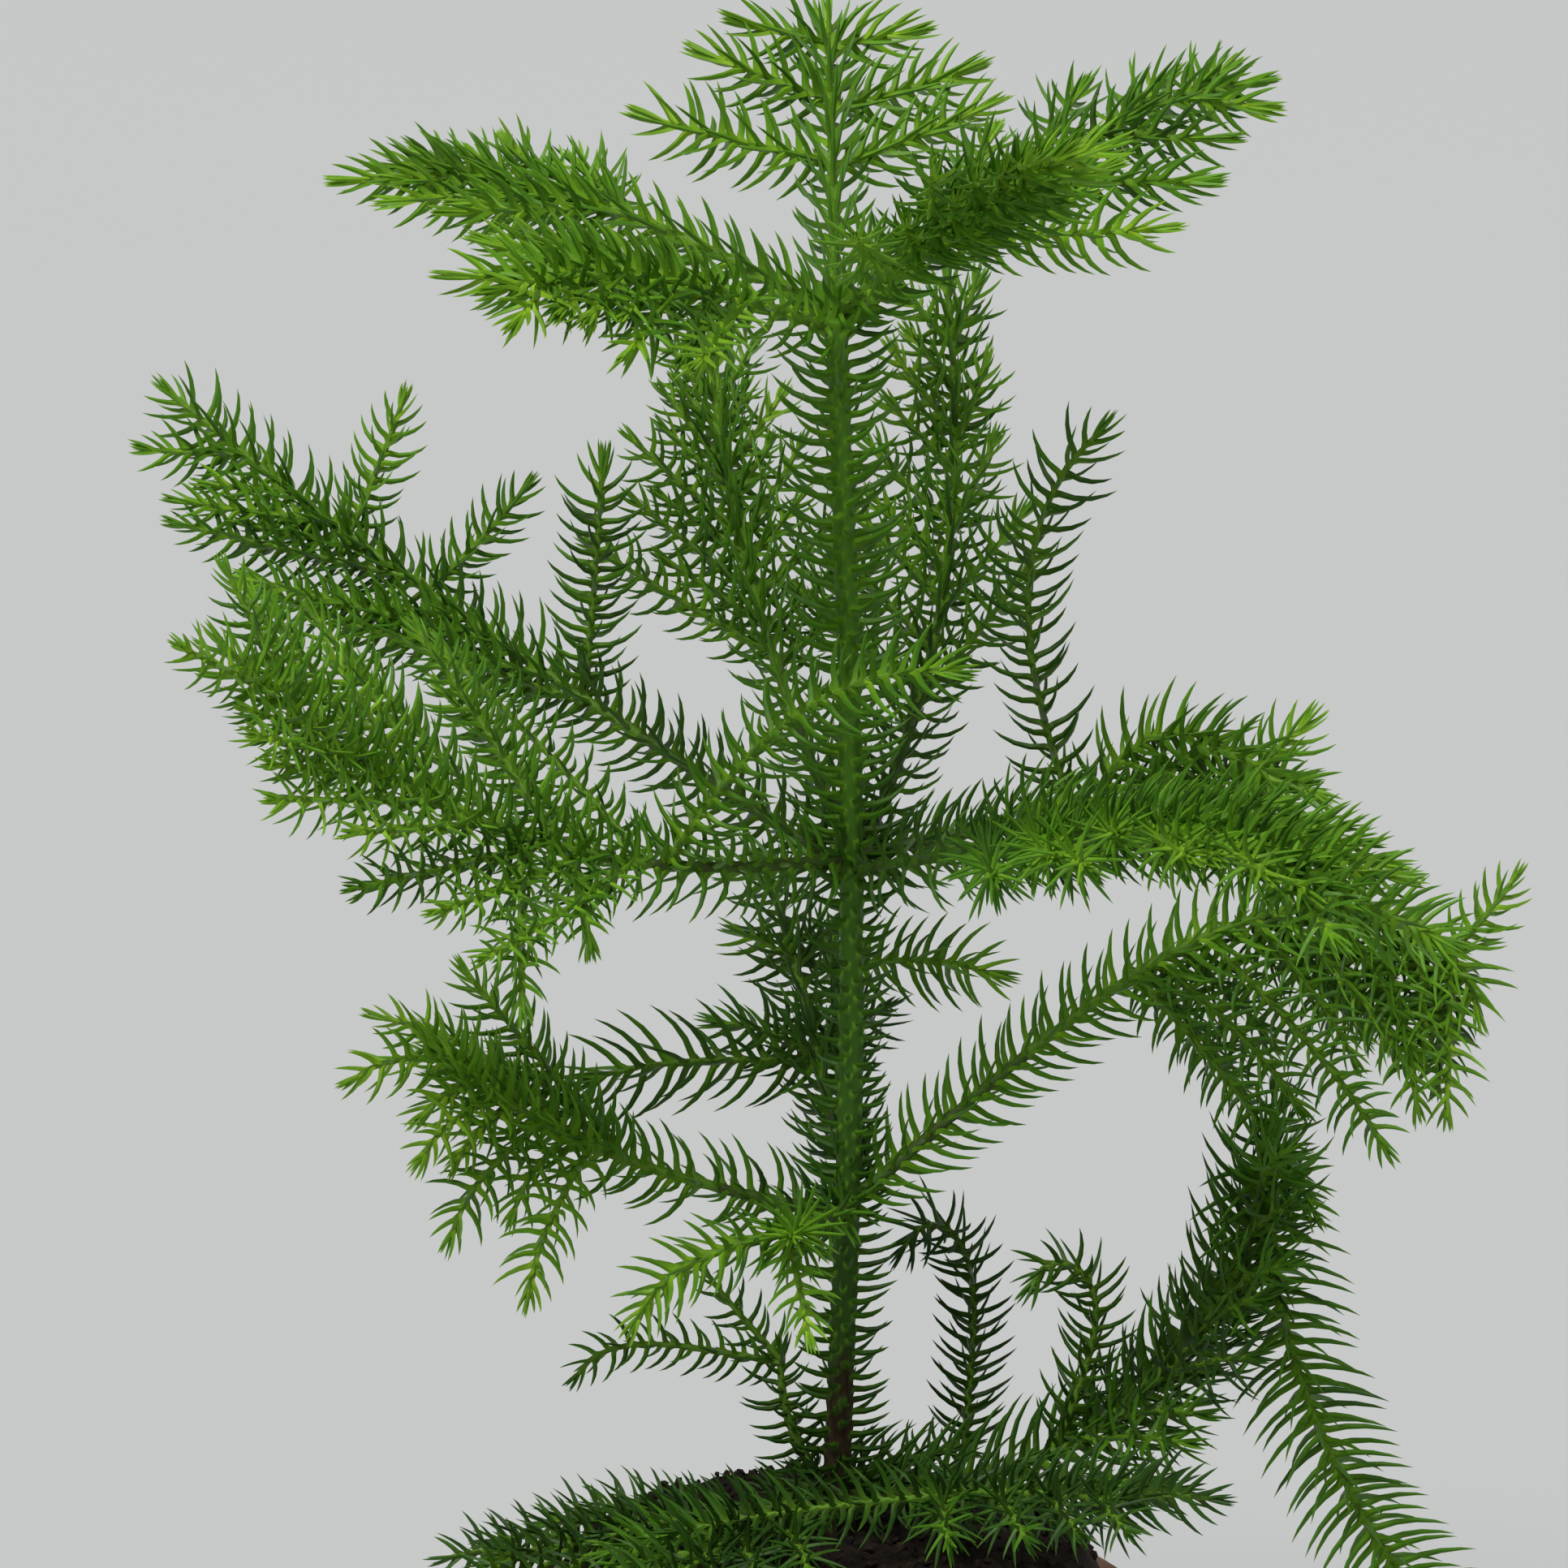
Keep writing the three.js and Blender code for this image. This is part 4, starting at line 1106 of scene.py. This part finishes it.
def needleMesh(batch):  # points, quads and triangles of a batch of needles
    centres, tangents, side = needleRings(batch)
    count, ringCount = len(side), len(needles["rings"])
    wide = np.array(needles["wide"]) / 2
    fold = np.cross(side[:, None, :], tangents[:, :ringCount])
    shift = np.zeros((1, ringCount, 1))
    shift[0, 0, 0] = needles["footShift"]
    middle = centres[:, :ringCount] - batch["heads"][:, None, :] * shift
    slim = batch["slim"][:, None, None]
    deep = np.tile(np.array(needles["deep"]) / 2, (count, 1))
    deep[:, 0] *= batch["fin"]
    high = fold * deep[:, :, None] * slim
    flat = side[:, None, :] * wide[None, :, None] * slim
    corners = np.stack([middle + high, middle + flat, middle - high, middle - flat], axis=2)
    tips = centres[:, ringCount]
    points = np.concatenate([corners.reshape(count, ringCount * 4, 3), tips[:, None, :]], axis=1)
    quads = np.vstack([ringFaces(ringCount, 4), [(3, 2, 1, 0)]])  # the last one closes the foot
    last = (ringCount - 1) * 4
    ends = np.array([(last + k, last + (k + 1) % 4, ringCount * 4) for k in range(4)])
    base = (np.arange(count) * (ringCount * 4 + 1))[:, None, None]
    return points.reshape(-1, 3), (quads[None] + base).reshape(-1, 4), (ends[None] + base).reshape(-1, 3)


def markPlaces(mesh, shares):  # writes each point's place along its needle into the mesh's UV map
    corners = np.empty(len(mesh.loops), np.int32)
    mesh.loops.foreach_get("vertex_index", corners)
    places = np.zeros((len(corners), 2), np.float32)
    places[:, 0] = shares[corners]
    mesh.uv_layers.new(name="place").data.foreach_set("uv", places.ravel())


def joinBatches(batches):
    return {key: np.concatenate([batch[key] for batch in batches]) for key in batches[0]}


def pickBatch(batch, chosen):
    return {key: value[chosen] for key, value in batch.items()}


def addNeedles(group, batch, nodes):
    centres, _, _ = needleRings(batch)
    batch = pickBatch(batch, clearOfPeat(centres[:, -1], needles["peatRoom"]))
    limits = [limit for _, limit in ages["steps"]]
    tints = np.searchsorted(limits, batch["age"], side="right")
    stops = np.repeat(needles["rings"] + (1,), [4] * len(needles["rings"]) + [1])
    for i, (tint, _) in enumerate(ages["steps"]):
        chosen = tints == i
        count = int(chosen.sum())
        if count < ages["fewest"]:
            continue
        name = group + "_needles_" + tint
        piece = joinedPiece(name, *needleMesh(pickBatch(batch, chosen)))
        markPlaces(piece.data, np.tile(stops, count))
        finishPiece(piece, name, finishes[tint], nodes, needles["smoothAngle"])
        print("needles in", name, count)


def trunkLimb():
    heights = np.linspace(trunk["flat"] + trunk["needlesFrom"], trunk["budBase"], trunk["pathPoints"])
    path = np.array([trunkPoint(height) for height in heights])
    return {"whorl": "trunk", "kind": "trunk", "path": path, "seed": trunk["seed"]}


trunkBatch = dressLimb(trunkLimb())
addNeedles("trunk", trunkBatch, ["trunk_needles_" + name for name in ("upper", "middle", "lower")])
for whorlName, whorl in whorls.items():
    ownLimbs = [limb for limb in limbs if limb["whorl"] == whorlName]
    fronds = [whorlName + "_" + name + "_frond" for name in whorl["boughs"]]
    addNeedles(whorlName, joinBatches([dressLimb(limb) for limb in ownLimbs]), fronds)


# Shoots under the needles

def tubeMesh(path, radii):
    sides = shoots["sides"]
    heads = unit(np.gradient(path, axis=0))
    across, _ = sideways(heads)
    for i in range(1, len(path)):  # carry the first ring's turn along, so that no band twists
        across[i] = across[i - 1] - heads[i] * (across[i - 1] @ heads[i])
    across = unit(across)
    over = np.cross(heads, across)
    angles = np.arange(sides) / sides * 2 * math.pi
    ring = across[:, None] * np.cos(angles)[None, :, None] + over[:, None] * np.sin(angles)[None, :, None]
    points = (path[:, None] + ring * radii[..., None]).reshape(-1, 3)
    ends = np.vstack([path[0], path[-1] + heads[-1] * radii[-1].mean()])
    first, last = len(points), len(points) + 1
    top = (len(path) - 1) * sides
    caps = [((k + 1) % sides, k, first) for k in range(sides)]
    caps += [(top + k, top + (k + 1) % sides, last) for k in range(sides)]
    return np.vstack([points, ends]), ringFaces(len(path), sides), np.array(caps)


def joinTubes(tubes):
    points, quads, triangles = [], [], []
    total = 0
    for tubePoints, tubeQuads, tubeTriangles in tubes:
        points.append(tubePoints)
        quads.append(tubeQuads + total)
        triangles.append(tubeTriangles + total)
        total += len(tubePoints)
    return np.vstack(points), np.vstack(quads), np.vstack(triangles)


def addShoots(whorlName, whorl):
    draws = np.random.default_rng(shoots["seed"])
    limit = shoots["knobLimit"]
    sets = {"young": [], "old": []}
    for limb in (limb for limb in limbs if limb["whorl"] == whorlName):
        length = pathLength(limb["path"])
        places = np.linspace(0, length, max(shoots["fewestRings"], int(length / shoots["ring"])))
        points, _ = along(limb["path"], places)
        knobs = 1 + shoots["knob"] * draws.normal(size=(len(places), shoots["sides"])).clip(-limit, limit)
        radii = lerp(*shoots[limb["kind"]], places / length)[:, None] * knobs
        cut = int(len(places) * shoots["oldPart"]) if limb["kind"] == "stem" and whorl["hasBoughs"] else 0
        if cut:
            sets["old"].append(tubeMesh(points[:cut + 1], radii[:cut + 1]))
        sets["young"].append(tubeMesh(points[cut:], radii[cut:]))
    for age, tubes in sets.items():
        if not tubes:
            continue
        name = whorlName + ("_boughs" if age == "old" else "_twigs")
        kind = "_bough" if age == "old" else "_frond"
        nodes = [whorlName + "_" + boughName + kind for boughName in whorl["boughs"]]
        piece = joinedPiece(name, *joinTubes(tubes))
        finishPiece(piece, name, finishes["shoot_" + age], nodes)


for whorlName, whorl in whorls.items():
    addShoots(whorlName, whorl)


# Trunk

def cushionRelief(points, batch):  # how far the feet of the needles swell the bark, in mm
    length, halfWidth, height = trunk["cushion"]

    def angles(places):
        return np.arctan2(places[:, 1], places[:, 0] - [trunkPoint(z)[0] for z in places[:, 2]])

    roots = batch["roots"]
    pointAngles = angles(points)
    radius = np.array([trunkRadius(z) for z in points[:, 2]])
    swell = np.zeros(len(points))
    for z, turn in zip(roots[:, 2], angles(roots)):
        drop = (z + trunk["cushionTop"] - points[:, 2]) / length
        near = (drop > 0) & (drop < 1)
        gap = (pointAngles[near] - turn + math.pi) % (2 * math.pi) - math.pi
        acrossShare = np.abs(gap * radius[near]) / halfWidth
        rounding = np.sqrt(np.clip(1 - acrossShare ** 2, 0, 1))
        ridge = rounding * (1 - drop[near]) * np.clip(drop[near] / trunk["cushionSwell"], 0, 1)
        swell[near] = np.maximum(swell[near], ridge * height)
    return swell


def addTrunk(batch):
    bpy.ops.mesh.primitive_circle_add(
        vertices=trunk["sides"], radius=trunkRadius(trunk["foot"]) * mm, fill_type="NGON",
        location=Vector(trunkPoint(trunk["foot"])) * mm)
    piece = openMesh()
    heights = np.linspace(trunk["foot"], trunk["budBase"], trunk["rings"] + 1)
    for low, high in zip(heights[:-1], heights[1:]):
        start, end = trunkPoint(low), trunkPoint(high)
        extrudeRing(Vector(end - start) * mm, trunkRadius(high) / trunkRadius(low), Vector(end) * mm)
    rise, share = trunk["cap"]
    extrudeRing((0, 0, rise * mm), share, Vector(end + [0, 0, rise]) * mm)
    cutUprights(trunk["longEdge"], trunk["cuts"])
    closeMesh()
    points = pointsOf(piece.data) / mm
    swell = cushionRelief(points, batch)
    finer, shallower = trunk["fineFissure"]
    for i, place in enumerate(points):
        centre = trunkPoint(place[2])
        arm = place - centre
        radius = math.hypot(arm[0], arm[1])
        turned = Vector(np.array([arm[0], arm[1], place[2]]) * trunk["fissureScale"])
        crack = noise.noise(turned) + shallower * noise.noise(turned * finer)
        age = np.interp(place[2], *trunk["cracking"])
        grow = 1 + (swell[i] + trunk["fissure"] * crack * age) / max(radius, 0.2)
        points[i, :2] = centre[:2] + arm[:2] * grow
    setPoints(piece.data, points * mm)
    mark = piece.data.attributes.new("swell", "FLOAT", "POINT")
    mark.data.foreach_set("value", (swell / trunk["cushion"][2]).astype(np.float32))
    finishPiece(piece, "trunk_stem", finishes["bark"], ["trunk"])


addTrunk(trunkBatch)


# Floor and light

studio = {
    "floorSize": 60,
    "floorTone": (0.635, 0.65, 0.65),
    "floorShade": 0.985,  # of that, in faint clouds
    "floorClouds": (0.7, 2),
    "skyTone": (0.94, 0.97, 1.0),
    "skyStrength": 0.24,
    "sunStrength": 2.5,
    "sunAngle": 32,  # degrees across, for soft shadows
    "sunTurn": (26, -14, 0),
    "sunTone": (1.0, 0.985, 0.96),
}


def addFloor():
    bpy.ops.mesh.primitive_plane_add(size=studio["floorSize"])
    floor = bpy.context.object
    floor.name = "floor"
    finish = Finish("floor", Roughness=0.9)
    clouds = finish.grain(*studio["floorClouds"])
    tone = np.array(studio["floorTone"])
    finish.set(Base_Color=finish.mix(clouds, tone * studio["floorShade"], tone))
    floor.data.materials.append(finish.material)


def addLight():
    bpy.ops.object.light_add(type="SUN", rotation=[math.radians(turn) for turn in studio["sunTurn"]])
    sun = bpy.context.object.data
    sun.energy = studio["sunStrength"]
    sun.angle = math.radians(studio["sunAngle"])
    sun.color = studio["sunTone"]
    world = bpy.data.worlds.new("studio")
    world.use_nodes = True
    sky = world.node_tree.nodes["Background"]
    sky.inputs["Color"].default_value = (*studio["skyTone"], 1)
    sky.inputs["Strength"].default_value = studio["skyStrength"]
    bpy.context.scene.world = world


addFloor()
addLight()
bpy.context.scene.view_settings.view_transform = "Standard"
print("studio lit")
